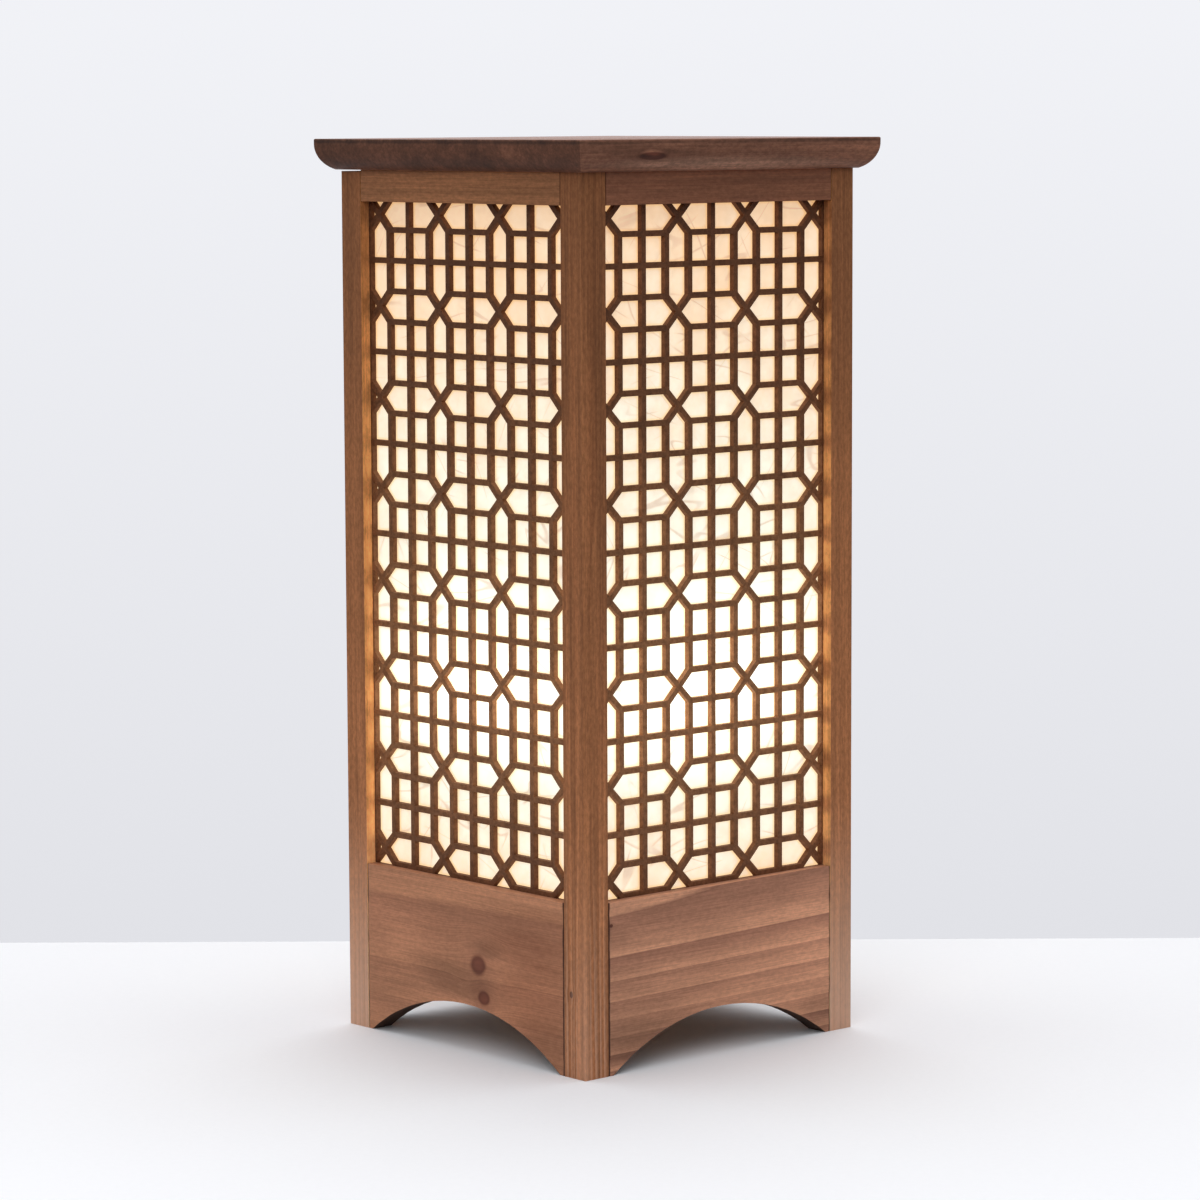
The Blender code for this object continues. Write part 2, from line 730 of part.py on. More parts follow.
def build_holder(collection):
    porcelain = new_material("porcelain", (0.85, 0.84, 0.80), 0.2)
    brass = new_material("brass", (0.75, 0.55, 0.25), 0.3, 1.0)
    spring_brass = new_material("spring_brass", (0.70, 0.50, 0.22), 0.4, 1.0)
    steel = new_material("steel", (0.62, 0.62, 0.63), 0.35, 1.0)
    place("holder_body", holder_body_mesh(), porcelain, collection, location=(0, 0, HOLDER_BOTTOM))
    shell_height = HOLDER_HEIGHT - HOLDER_FLOOR - CLEARANCE - SHELL_TOP_DROP
    shell = ring_mesh(SHELL_INNER_RADIUS, SHELL_OUTER_RADIUS, shell_height, ROUND_SEGMENTS)
    place("holder_shell", shell, brass, collection, location=(0, 0, SPRING_BOTTOM))
    place("holder_contact", spring_mesh(), spring_brass, collection, location=(0, 0, SPRING_BOTTOM))
    screw = screw_mesh()
    screw_height = HOLDER_BOTTOM + HOLDER_FLANGE_THICKNESS + CLEARANCE
    for number, (x, y) in enumerate(screw_places(), start=1):
        place(f"holder_screw_{number}", screw, steel, collection, location=(x, y, screw_height))


def build_bulb(collection):
    solder = new_material("solder", (0.70, 0.70, 0.70), 0.4, 1.0)
    black_glass = new_material("black_glass", (0.015, 0.015, 0.018), 0.15)
    nickel = new_material("nickel", (0.72, 0.70, 0.66), 0.25, 1.0)
    white_plastic = new_material("white_plastic", (0.88, 0.88, 0.86), 0.4)
    board_white = new_material("board_white", (0.85, 0.86, 0.84), 0.5)
    opal = new_material("opal", (0.95, 0.93, 0.88), 0.35)
    lift = new_empty("bulb_lift", collection, location=(0, 0, BULB_BOTTOM))
    turn = new_empty("bulb_turn", collection)
    turn.parent = lift
    place("bulb_tip", tip_mesh(), solder, collection, parent=lift)
    pieces = (
        ("bulb_insulator", insulator_mesh(), black_glass, INSULATOR_BOTTOM),
        ("bulb_cap", cap_mesh(), nickel, CAP_BOTTOM),
        ("bulb_housing", housing_mesh(), white_plastic, HOUSING_BOTTOM),
        ("bulb_led_board", led_board_mesh(), board_white, LED_BOARD_BOTTOM),
        ("bulb_dome", dome_mesh(), opal, LED_BOARD_BOTTOM),
    )
    for name, mesh, material, height in pieces:
        place(name, mesh, material, collection, location=(0, 0, height - BULB_BOTTOM), parent=turn)


def main():
    clear_scene()
    collection = new_collection("paper_lamp")
    sides = {}
    for quarter, name in enumerate(SIDES):
        sides[name] = new_empty(f"{name}_side", collection, turn=quarter * QUARTER_TURN)
    build_frame(collection, sides)
    build_windows(collection, sides)
    build_lid(collection)
    build_base(collection, sides)
    build_holder(collection)
    build_bulb(collection)


main()
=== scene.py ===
"""Looks of the paper lamp: finishes, finer pieces, floor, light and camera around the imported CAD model.

Lengths are metres in the CAD model's frame: +Z is up, the origin is on the floor under the middle
of the lamp, and the front side faces -Y.
"""

import json
import math

import bmesh
import bpy
from mathutils import Matrix, Vector


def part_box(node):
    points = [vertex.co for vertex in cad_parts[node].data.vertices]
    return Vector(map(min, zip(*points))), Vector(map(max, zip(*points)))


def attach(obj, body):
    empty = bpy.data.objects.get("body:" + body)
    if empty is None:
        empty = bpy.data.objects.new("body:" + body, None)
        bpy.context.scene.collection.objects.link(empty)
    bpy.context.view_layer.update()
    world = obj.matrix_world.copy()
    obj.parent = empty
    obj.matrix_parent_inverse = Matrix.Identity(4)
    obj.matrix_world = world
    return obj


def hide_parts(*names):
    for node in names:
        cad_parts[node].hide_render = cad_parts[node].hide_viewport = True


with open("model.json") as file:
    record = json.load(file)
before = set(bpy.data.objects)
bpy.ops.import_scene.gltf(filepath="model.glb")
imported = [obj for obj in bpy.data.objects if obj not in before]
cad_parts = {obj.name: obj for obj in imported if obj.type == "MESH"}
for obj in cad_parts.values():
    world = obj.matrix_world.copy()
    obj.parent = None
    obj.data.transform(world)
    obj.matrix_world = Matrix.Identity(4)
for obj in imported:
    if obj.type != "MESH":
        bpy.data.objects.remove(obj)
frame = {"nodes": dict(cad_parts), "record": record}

# Sides and posts in order round the lamp: a side has the axis of its grain and the way that it faces
SIDES = {"front": ("X", -1), "right": ("Y", 1), "back": ("X", 1), "left": ("Y", -1)}
POSTS = ("front_right", "back_right", "back_left", "front_left")
NEAR_POST = "front_right"
LEFT_POST = "front_left"

# Sizes read from the CAD model
BODY_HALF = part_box("front_right_post")[1].x
POST_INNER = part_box("front_right_post")[0].x
PAPER_PLANE = sum(corner.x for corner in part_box("right_paper")) / 2

# Other sizes that follow the CAD model
BULB_MIDDLE = 0.172
BAR_HEIGHT = 0.0928
BAR_SPACING = 0.0227
TOP_LAND = 0.0025
TOP_EDGE_SWEEP = math.radians(70)
TOP_BOTTOM_HALF = 0.0918
TOP_EDGE_SEGMENTS = 20
TOP_ARRIS = 0.0006
TOP_SEAT = 0.00025
ARRIS_SEGMENTS = 3
BULB_GAP = 0.0003
HOUSING_RIM = 0.003
HOUSING_FLARE_POWER = 1.5
DOME_WALL = 0.0012
SHELL_WALL = 0.0005

# Threads of the bulb's cap and of the holder's shell, and how finely round pieces are made
CAP_THREAD_DEPTH = 0.0005
CAP_BORE = 0.0123
SHELL_THREAD_DEPTH = 0.0004
THREAD_RUN_OUT = 0.0020
ROWS_PER_TURN = 12
ROUND_SEGMENTS = 72
ROUND_ROWS = 28
DOME_POLE = math.radians(1.5)

# Eased edges of the wooden pieces
EASE = 0.00035
EASE_SEGMENTS = 2
EASE_ANGLE = math.radians(40)
WELD_REACH = 1e-6
SHARP_ANGLE = math.radians(35)

# Camera, fitted to the photo
CAMERA_PLACE = (1.5905, -1.4250, 0.46248)
CAMERA_AZIMUTH = math.radians(48.116)
CAMERA_PITCH = math.radians(-6.554)
CAMERA_ROLL = math.radians(-0.235)
CAMERA_LENS = 128.499
CAMERA_SENSOR = 36.0

# Floor: past BOUNCE_FULL it throws less light back on the lamp, and none past BOUNCE_END
FLOOR_COLOUR = (0.91, 0.922, 0.960)
FLOOR_FELT_SCALE = 300.0
FLOOR_TONES = (0.985, 1.0)
FLOOR_ROUGHNESS = 0.9
FLOOR_BACK = 0.2225
FLOOR_REACH = 4.0
BOUNCE_FULL = 0.24
BOUNCE_END = 0.55

# Backdrop, soft light from above that leans to the back, and key light
BACKDROP_LOW = (0.757, 0.763, 0.803)
BACKDROP_HIGH = (0.88, 0.888, 0.926)
BACKDROP_LOW_SLOPE = -0.19
BACKDROP_HIGH_SLOPE = 0.02
AMBIENT_ZENITH = 1.8
AMBIENT_HORIZON = 0.12
AMBIENT_LEAN = 0.85
KEY_PLACE = (1.3, -1.6, 1.2)
KEY_AIM = (0.0, 0.0, 0.15)
KEY_SIZE = 1.2
KEY_POWER = 12.0
WHITE = (1.0, 1.0, 1.0)
BLACK = (0.0, 0.0, 0.0)

# Glow of the paper: its colour far from the bulb and beside it, and how bright it gets
GLOW_FAR = (0.98, 0.67, 0.42)
GLOW_NEAR = (1.05, 1.03, 0.89)
GLOW_NEAR_REACH = (1.10, 0.15)
GLOW_BASE = 0.87
GLOW_HOT = 1.5
GLOW_HOT_REACH = 0.38
GLOW_FULL = GLOW_BASE + GLOW_HOT
GLOW_RIM = (0.90, 1.12)
GLOW_RIM_LEVEL = 0.85
GLOW_WIDTH = 0.30
GLOW_ABOVE = 0.231
GLOW_BELOW = 0.112
GLOW_LEAN = 0.05

# Paper: its own colour, its unevenness, and the warmer glow close to the lattice's bars
PAPER_COLOUR = (0.50, 0.44, 0.34)
PAPER_FIBRE_COLOUR = (0.30, 0.18, 0.11)
PAPER_FIBRE_SHARE = 0.5
PAPER_ROUGHNESS = 0.9
PAPER_CLOUD_SCALE = 45.0
PAPER_CLOUD_SHARE = 0.8
PAPER_MOTTLE_SCALE = 240.0
PAPER_MOTTLE_TONES = (0.93, 1.07)
PAPER_RELIEF = 0.00008
GLOW_EDGE_TONE = (1.0, 0.84, 0.58)
GLOW_EDGE_REACH = 0.0022
GLOW_EDGE_OPENNESS = (0.95, 0.5)

# Fibres in the paper: the turn of each set, the width of a fibre and how sparse they are
FIBRE_SETS = (
    (0.12, 0.014, 0.52),
    (-0.35, 0.012, 0.53),
    (0.90, 0.012, 0.55),
    (-0.95, 0.011, 0.56),
    (0.30, 0.024, 0.60),
)
FIBRE_GLOW_COLOUR = (0.58, 0.36, 0.25)
FIBRE_GLOW_SHARE = 0.42
FIBRE_LINE_SCALE = (10.0, 55.0, 1.0)
FIBRE_CORE = 0.2
FIBRE_PATCH_SCALE = (26.0, 40.0, 1.0)
FIBRE_PATCH_SHIFT = (3.1, 1.7, 0.9)
FIBRE_PATCH_EDGE = 0.10

# Noises in wood, in waves a metre: twice across the grain, then along it
DRIFT_SCALE = (22.0, 22.0, 4.0)
WAVER_SCALE = (130.0, 130.0, 16.0)
SPREAD_SCALE = (90.0, 90.0, 1.5)
FIBRE_SCALE = (1700.0, 1700.0, 30.0)
STREAK_SCALE = (300.0, 300.0, 5.0)
TONE_SCALE = (26.0, 26.0, 7.0)
SPECK_SCALE = (620.0, 620.0, 300.0)
SEED_STEP = (0.37, 0.61, 0.83)
NOISE_MIDDLE = 0.5

# A growth ring from its dark start to its pale end, as (share of its width, depth of colour)
RING_PROFILE = ((0.0, 1.0), (0.2, 0.86), (0.5, 0.55), (0.8, 0.25), (0.97, 0.0), (1.0, 1.0))
WEAKEST_RING = 0.4
DRIFT_SHARE = 4

# Finish of all woods
FIBRE_TONES = (0.84, 1.14)
TONE_TONES = (0.86, 1.14)
WOOD_ROUGHNESS = (0.50, 0.64)
WOOD_SPECULAR = 0.15
WOOD_RELIEF = 0.00012
RING_RELIEF = 0.6
COAT_ROUGHNESS = 0.25
COAT_IOR = 1.15
POLISH_TURN = (0.6, 0.95)
END_GRAIN_TURN = (0.05, 0.4)
STAIN_EDGE = (1.2, 0.2)

# Look of knots; places round a knot are in knot radii
KNOT_DEPTH = 0.05
KNOT_PULL = 0.75
KNOT_PULL_REACH = 2.6
KNOT_RAGGED = 0.9
KNOT_SURROUND = (3.8, 1.2)
KNOT_SURROUND_SHARE = 0.35
KNOT_EDGE = (1.75, 1.25)
KNOT_SHARE = 0.9
KNOT_RED = (1.15, 0.82, 0.84)
KNOT_RIM = 1.3
KNOT_RIM_WIDTH = 0.45
KNOT_RIM_TONES = (1.15, 0.85)
KNOT_STREAK_TONES = (0.85, 1.2)

# Posts: a painted sheen at the feet, which stands for the floor's light, and the paper's glow painted on
# the inner sides, weaker near the top, with painted shadows of the bars
FOOT_SHEEN_COLOUR = (0.84, 0.573, 0.435)
FOOT_SHEEN_HEIGHT = 0.13
FOOT_SHEEN_DEPTHS = (0.03, 0.35)
INNER_PAINTED_GLOW = {"painted_glow_tone": (1.85, 2.1, 1.7), "glow_beside_bars": 0.2}
LEFT_INNER_PAINTED_GLOW = {"painted_glow_tone": (2.35, 2.65, 2.15), "glow_beside_bars": 0.72}
REVEAL_TURN = (0.3, 0.9)
REVEAL_HEIGHTS = (0.43, 0.28)
REVEAL_TOP_SHARE = 0.4
BAR_SHADOW = (1.0, -0.2)

# Stain gathered where a panel meets the posts
JOINT_SHOWS = 0.0008
PANEL_JOINT = POST_INNER - JOINT_SHOWS
JOINT_COLOUR = (0.06, 0.024, 0.016)
JOINT_EDGE = 0.0006
JOINT_WAVER = 0.0010
JOINT_PATCHES = (0.35, 0.6)
JOINT_SHARES = (0.45, 0.9)

# Lattice: the two colours of its felted fibres, and the paper's glow painted on it, brightest beside the
# bulb
LATTICE_LIGHT = (0.128, 0.0440, 0.0217)
LATTICE_DARK = (0.077, 0.0250, 0.0120)
LATTICE_LEVELS = {"front": 0.95, "right": 1.05}
LATTICE_FELT_SCALE = 420.0
LATTICE_CLOUD_SCALE = 35.0
LATTICE_CLOUD_TONES = (0.88, 1.1)
LATTICE_ROUGHNESS = 0.6
LATTICE_RELIEF = 0.00010
LATTICE_PAINTED_GLOW_TONE = (2.3, 3.5, 3.2)
LATTICE_PAINTED_GLOW_ABOVE = 0.12
LATTICE_PAINTED_GLOW_BELOW = 0.06

# Knots: a point on the axis, the axis, the radius, how many times longer along the grain, and the tone
NEAR_POST_KNOTS = (((0.0800, -0.090, 0.0406), "Y", 0.0010, 1.4, 0.25),)
PANEL_KNOTS = {
    "front": (
        ((0.0112, -0.090, 0.0450), "Y", 0.0054, 1.15, 0.48),
        ((0.0155, -0.090, 0.0292), "Y", 0.0035, 1.25, 0.55),
    ),
    "right": (((0.090, -0.0731, 0.0733), "X", 0.0009, 1.3, 0.3),),
}
TOP_KNOTS = (((0.098, -0.0524, 0.4398), "X", 0.0015, 5.0, 0.34),)

# Darker and paler patches, some of them painted light and shade: the middle, the reach along each axis, and
# the tone
# Painted light and shade on every post by height: paler about the middle, darker towards the top under the
# board, a little darker at the foot
POST_PAINTED_LIGHT_AND_SHADE = (
    ((0.0, 0.0, 0.190), (1.0, 1.0, 0.170), 1.12),
    ((0.0, 0.0, 0.435), (1.0, 1.0, 0.130), 0.88),
    ((0.0, 0.0, 0.000), (1.0, 1.0, 0.090), 0.92),
)
PANEL_TONE_PATCHES = {
    "front": (
        ((-0.014, -0.090, 0.036), (0.034, 0.030, 0.012), 0.71),
        ((0.018, -0.090, 0.053), (0.016, 0.030, 0.006), 0.72),
        ((0.055, -0.090, 0.062), (0.045, 0.030, 0.018), (0.84, 0.80, 0.78)),
        ((0.054, -0.090, 0.032), (0.050, 0.030, 0.032), (0.80, 0.74, 0.72)),
        ((-0.060, -0.090, 0.022), (0.030, 0.030, 0.016), 0.82),
        ((-0.062, -0.090, 0.052), (0.040, 0.030, 0.016), 1.14),
        ((-0.055, -0.090, 0.066), (0.045, 0.030, 0.012), 1.20),
        ((-0.036, -0.090, 0.045), (0.030, 0.030, 0.012), 1.16),
        ((0.010, -0.090, 0.035), (0.016, 0.030, 0.012), 0.84),
        ((0.066, -0.090, 0.014), (0.044, 0.030, 0.022), 0.68),
        ((-0.030, -0.090, 0.079), (0.090, 0.030, 0.008), 1.10),
    ),
    "right": (
        ((0.090, 0.068, 0.012), (0.030, 0.022, 0.014), 0.74),
        ((0.090, 0.060, 0.045), (0.030, 0.060, 0.030), 1.12),
        ((0.090, -0.060, 0.022), (0.030, 0.060, 0.026), 0.80),
        ((0.090, 0.075, 0.055), (0.030, 0.035, 0.035), 1.20),
        ((0.090, -0.072, 0.047), (0.030, 0.030, 0.010), 0.78),
        ((0.090, -0.062, 0.016), (0.030, 0.044, 0.014), 0.66),
        ((0.090, 0.026, 0.068), (0.030, 0.036, 0.007), 1.14),
        ((0.090, 0.062, 0.076), (0.030, 0.040, 0.006), 1.12),
        ((0.090, -0.074, 0.067), (0.030, 0.020, 0.007), 0.84),
    ),
}
TOP_PATCHES_AND_SHEEN = (
    # A pale band low on the right side: paler wood, greyed by a painted sheen
    ((0.096, 0.000, 0.4350), (0.020, 0.090, 0.0042), (1.70, 2.05, 2.25)),
    ((-0.020, -0.098, 0.4340), (0.090, 0.020, 0.0050), 0.80),
    ((0.060, -0.098, 0.4410), (0.040, 0.020, 0.0060), 1.25),
    ((0.000, 0.000, 0.4464), (1.0, 1.0, 0.0011), 0.50),
    ((0.098, -0.0530, 0.4414), (0.020, 0.0055, 0.0016), 2.30),
    ((0.098, -0.0560, 0.4400), (0.020, 0.0040, 0.0008), 0.60),
    ((0.098, -0.0500, 0.4360), (0.020, 0.0110, 0.0014), 1.30),
    ((0.030, -0.098, 0.4385), (0.016, 0.020, 0.0070), 0.80),
    ((0.050, -0.098, 0.4400), (0.012, 0.020, 0.0060), 1.22),
    ((-0.045, -0.098, 0.4400), (0.018, 0.020, 0.0080), 1.20),
    ((-0.008, -0.098, 0.4345), (0.010, 0.020, 0.0030), 1.25),
    ((0.098, 0.070, 0.4400), (0.020, 0.030, 0.0060), 1.12),
)

# Colours of each wood: the pale end of a growth ring, and its start, which the stain makes dark
POST_COLOURS = ((0.47, 0.190, 0.080), (0.27, 0.094, 0.037))
POST_LEVEL = 0.98
NEAR_POST_LEVEL = 0.91
RAIL_COLOURS = {
    "X": ((0.46, 0.200, 0.092), (0.31, 0.126, 0.060)),
    # The right and left rails: a darker copy of the same wood, painted shade
    "Y": ((0.40, 0.165, 0.092), (0.26, 0.100, 0.058)),
}
PANEL_COLOURS = {
    "X": ((0.52, 0.240, 0.132), (0.28, 0.120, 0.072)),
    "Y": ((0.66, 0.325, 0.195), (0.27, 0.120, 0.078)),
}
TOP_COLOURS = ((0.34, 0.152, 0.094), (0.20, 0.082, 0.050))
INNER_COLOURS = ((0.45, 0.26, 0.14), (0.30, 0.15, 0.07))
PLY_COLOURS = ((0.60, 0.42, 0.25), (0.46, 0.29, 0.15))

# Pith lines: how far in from the lamp's side or out from its middle, and how high
POST_PITH_IN = 0.050
RAIL_PITH_OUT = 0.050
RAIL_PITH_HEIGHT = 0.360
PANEL_PITHS_IN = {"X": 0.1505, "Y": 0.0500}
PANEL_PITH_HEIGHTS = {"X": 0.0850, "Y": 0.0860}
TOP_PITH = (0.02, 0.395)
INNER_PITH = (0.0, 0.1)
PLY_PITH = (0.0, -0.25)

# Grain of each wood, in the words of wood()
POST_RINGS = 34
POST_GRAIN = {"wander": 0.0006, "uneven": 0.010, "specks": 0.18, "stains_and_shading": POST_PAINTED_LIGHT_AND_SHADE}
# The posts' feet get a painted sheen, which stands for the floor's light
NEAR_POST_GRAIN = {"contrast": 0.55, "streaks": 0.22, "foot_sheen": (0.13, 0.9), "knots": NEAR_POST_KNOTS}
OTHER_POST_GRAIN = {"contrast": 0.36, "streaks": 0.12, "foot_sheen": (0.46, 0.15)}
RAIL_GRAIN = {"ring": 0.0040, "contrast": 0.5, "uneven": 0.006, "streaks": 0.16, "specks": 0.16}
# Panels: the end tone darkens the end grain, the arch undersides towards the feet: partly the stain that
# end grain takes, mostly painted shade under the lamp
PANEL_GRAIN = {"wander": 0.0001, "specks": 0.10, "end_tone": 0.10, "joint": PANEL_JOINT}
PANEL_RINGS = {
    "X": {"ring": 0.00657, "contrast": 0.6, "taper": 0.0020, "phase": 85.0, "streaks": 0.06},
    "Y": {"ring": 0.00671, "contrast": 0.9, "taper": 0.0094, "phase": 165.540, "streaks": 0.04},
}
TOP_GRAIN = {
    "ring": 0.0034,
    "contrast": 0.4,
    "uneven": 0.006,
    "streaks": 0.14,
    "mottle": 0.18,
    "specks": 0.24,
    "knots": TOP_KNOTS,
    "stains_and_shading": TOP_PATCHES_AND_SHEEN,
    "end_tone": (0.48, 0.45, 0.43),
    "coat": 0.17,
    "polish": 0.5,
}
INNER_GRAIN = {"ring": 0.003}
PLY_GRAIN = {"ring": 0.006, "contrast": 0.5}

# Seeds, which keep the noises of the wooden pieces apart
RAIL_SEED = 10
PANEL_SEED = 20
INNER_SEED = 30
TOP_SEED = 40
PLY_SEED = 50

# Plain finishes: colour, roughness, the scale and amount of the unevenness, and 1 for a metal
FINISHES = {
    "grommet_rubber": ((0.025, 0.025, 0.026), 0.75, 900.0, 0.25, 0.0),
    "glazed_porcelain": ((0.84, 0.83, 0.78), 0.18, 160.0, 0.06, 0.0),
    "spring_brass": ((0.70, 0.50, 0.22), 0.35, 700.0, 0.20, 1.0),
    "zinc_plate": ((0.64, 0.64, 0.66), 0.35, 800.0, 0.15, 1.0),
    "solder": ((0.70, 0.70, 0.71), 0.40, 900.0, 0.18, 1.0),
    "black_glass": ((0.015, 0.015, 0.018), 0.15, 300.0, 0.25, 0.0),
    "white_solder_mask": ((0.84, 0.85, 0.83), 0.5, 700.0, 0.06, 0.0),
    "nickel_plate": ((0.72, 0.70, 0.66), 0.26, 600.0, 0.12, 1.0),
    "pressed_brass": ((0.76, 0.56, 0.26), 0.30, 500.0, 0.15, 1.0),
    "white_plastic": ((0.86, 0.86, 0.84), 0.42, 1200.0, 0.05, 0.0),
}
FINISH_CLOUD = 0.1
FINISH_GLOSS = (-0.05, 0.07)
FINISH_RELIEF = 0.00002

# The bulb's lit diffuser: its colours, and how the light grows from below the bulb's middle upwards
OPAL_COLOUR = (0.92, 0.90, 0.85)
OPAL_GLOW = (1.0, 0.86, 0.66)
OPAL_POWER = 2.2
OPAL_ROUGHNESS = 0.35
OPAL_HAZE_SCALE = 90.0
OPAL_HAZE_TONES = (0.96, 1.0)
OPAL_HEIGHTS = (BULB_MIDDLE - 0.03, BULB_MIDDLE + 0.02)
OPAL_TONES = (0.6, 1.0)


class Nodes:
    """A node tree, with one short call for each kind of node used here."""

    def __init__(self, tree):
        self.nodes = tree.nodes
        self.links = tree.links

    def feed(self, socket, value):
        """Links a socket, or sets its value; a colour is three numbers, or one for a grey."""
        if isinstance(value, bpy.types.NodeSocket):
            self.links.new(value, socket)
        elif socket.type == "RGBA":
            colour = value if isinstance(value, tuple) else (value,) * 3
            socket.default_value = (*colour, 1.0)
        else:
            socket.default_value = value

    def node(self, kind, inputs=None, **settings):
        made = self.nodes.new(kind)
        for name, value in settings.items():
            setattr(made, name, value)
        for name, value in (inputs or {}).items():
            self.feed(made.inputs[name], value)
        return made

    def math(self, operation, *values):
        made = self.node("ShaderNodeMath", operation=operation)
        for socket, value in zip(made.inputs, values):
            self.feed(socket, value)
        return made.outputs[0]

    def vector(self, operation, *values):
        made = self.node("ShaderNodeVectorMath", operation=operation)
        for socket, value in zip(made.inputs, values):
            self.feed(socket, value)
        return made.outputs["Value" if operation == "LENGTH" else "Vector"]

    def split(self, vector):
        made = self.node("ShaderNodeSeparateXYZ", {"Vector": vector})
        return [made.outputs[axis] for axis in "XYZ"]

    def join(self, x, y, z):
        made = self.node("ShaderNodeCombineXYZ", {"X": x, "Y": y, "Z": z})
        return made.outputs["Vector"]

    def noise(self, vector, scale, detail=2.0, roughness=0.5):
        """Soft noise from 0 to 1; scale is one number or one for each axis."""
        stretched = self.vector("MULTIPLY", vector, scale if isinstance(scale, tuple) else (scale,) * 3)
        inputs = {"Vector": stretched, "Scale": 1.0, "Detail": detail, "Roughness": roughness}
        return self.node("ShaderNodeTexNoise", inputs).outputs["Fac"]

    def swing(self, noise):
        """A noise moved to run to both sides of 0."""
        return self.math("SUBTRACT", noise, NOISE_MIDDLE)

    def between(self, value, start, end, low=0.0, high=1.0):
        """A smooth step from low to high as the value goes from start to end."""
        inputs = {"Value": value, "From Min": start, "From Max": end, "To Min": low, "To Max": high}
        made = self.node("ShaderNodeMapRange", inputs, interpolation_type="SMOOTHSTEP")
        return made.outputs["Result"]

    def level(self, noise, low, high, spread=0.2):
        """A smooth step from low to high as a noise passes its middle, within the spread."""
        return self.between(noise, NOISE_MIDDLE - spread, NOISE_MIDDLE + spread, low, high)

    def ramp(self, value, stops):
        """A grey level that runs through (place, level) stops."""
        made = self.node("ShaderNodeValToRGB", {"Fac": value})
        elements = made.color_ramp.elements
        while len(elements) < len(stops):
            elements.new(1.0)
        for element, (place, level) in zip(elements, stops):
            element.position = place
            element.color = (level, level, level, 1.0)
        return made.outputs["Color"]

    def mix(self, share, low, high, blend="MIX"):
        made = self.node("ShaderNodeMix", data_type="RGBA", blend_type=blend)
        for number, value in ((0, share), (6, low), (7, high)):
            self.feed(made.inputs[number], value)
        return made.outputs[2]

    def shade(self, colour, tone):
        """A colour times a grey level or another colour."""
        return self.mix(1.0, colour, tone, blend="MULTIPLY")

    def vary(self, colour, noise, low, high, spread=0.2):
        """A colour times a level that follows a noise."""
        return self.shade(colour, self.level(noise, low, high, spread))

    def bump(self, height, depth, strength):
        inputs = {"Height": height, "Distance": depth, "Strength": strength}
        return self.node("ShaderNodeBump", inputs).outputs["Normal"]


class Shader(Nodes):
    """A material's node tree, which ends in its Principled BSDF."""

    def __init__(self, name):
        self.material = bpy.data.materials.new(name)
        self.material.use_nodes = True
        super().__init__(self.material.node_tree)
        self.surface = self.nodes["Principled BSDF"]

    def place(self):
        """The point on the piece, in the CAD model's frame at rest."""
        return self.node("ShaderNodeTexCoord").outputs["Object"]

    def finish(self, **inputs):
        """Feeds the surface's sockets, named with underscores for spaces, and gives the material."""
        for name, value in inputs.items():
            self.feed(self.surface.inputs[name.replace("_", " ")], value)
        return self.material


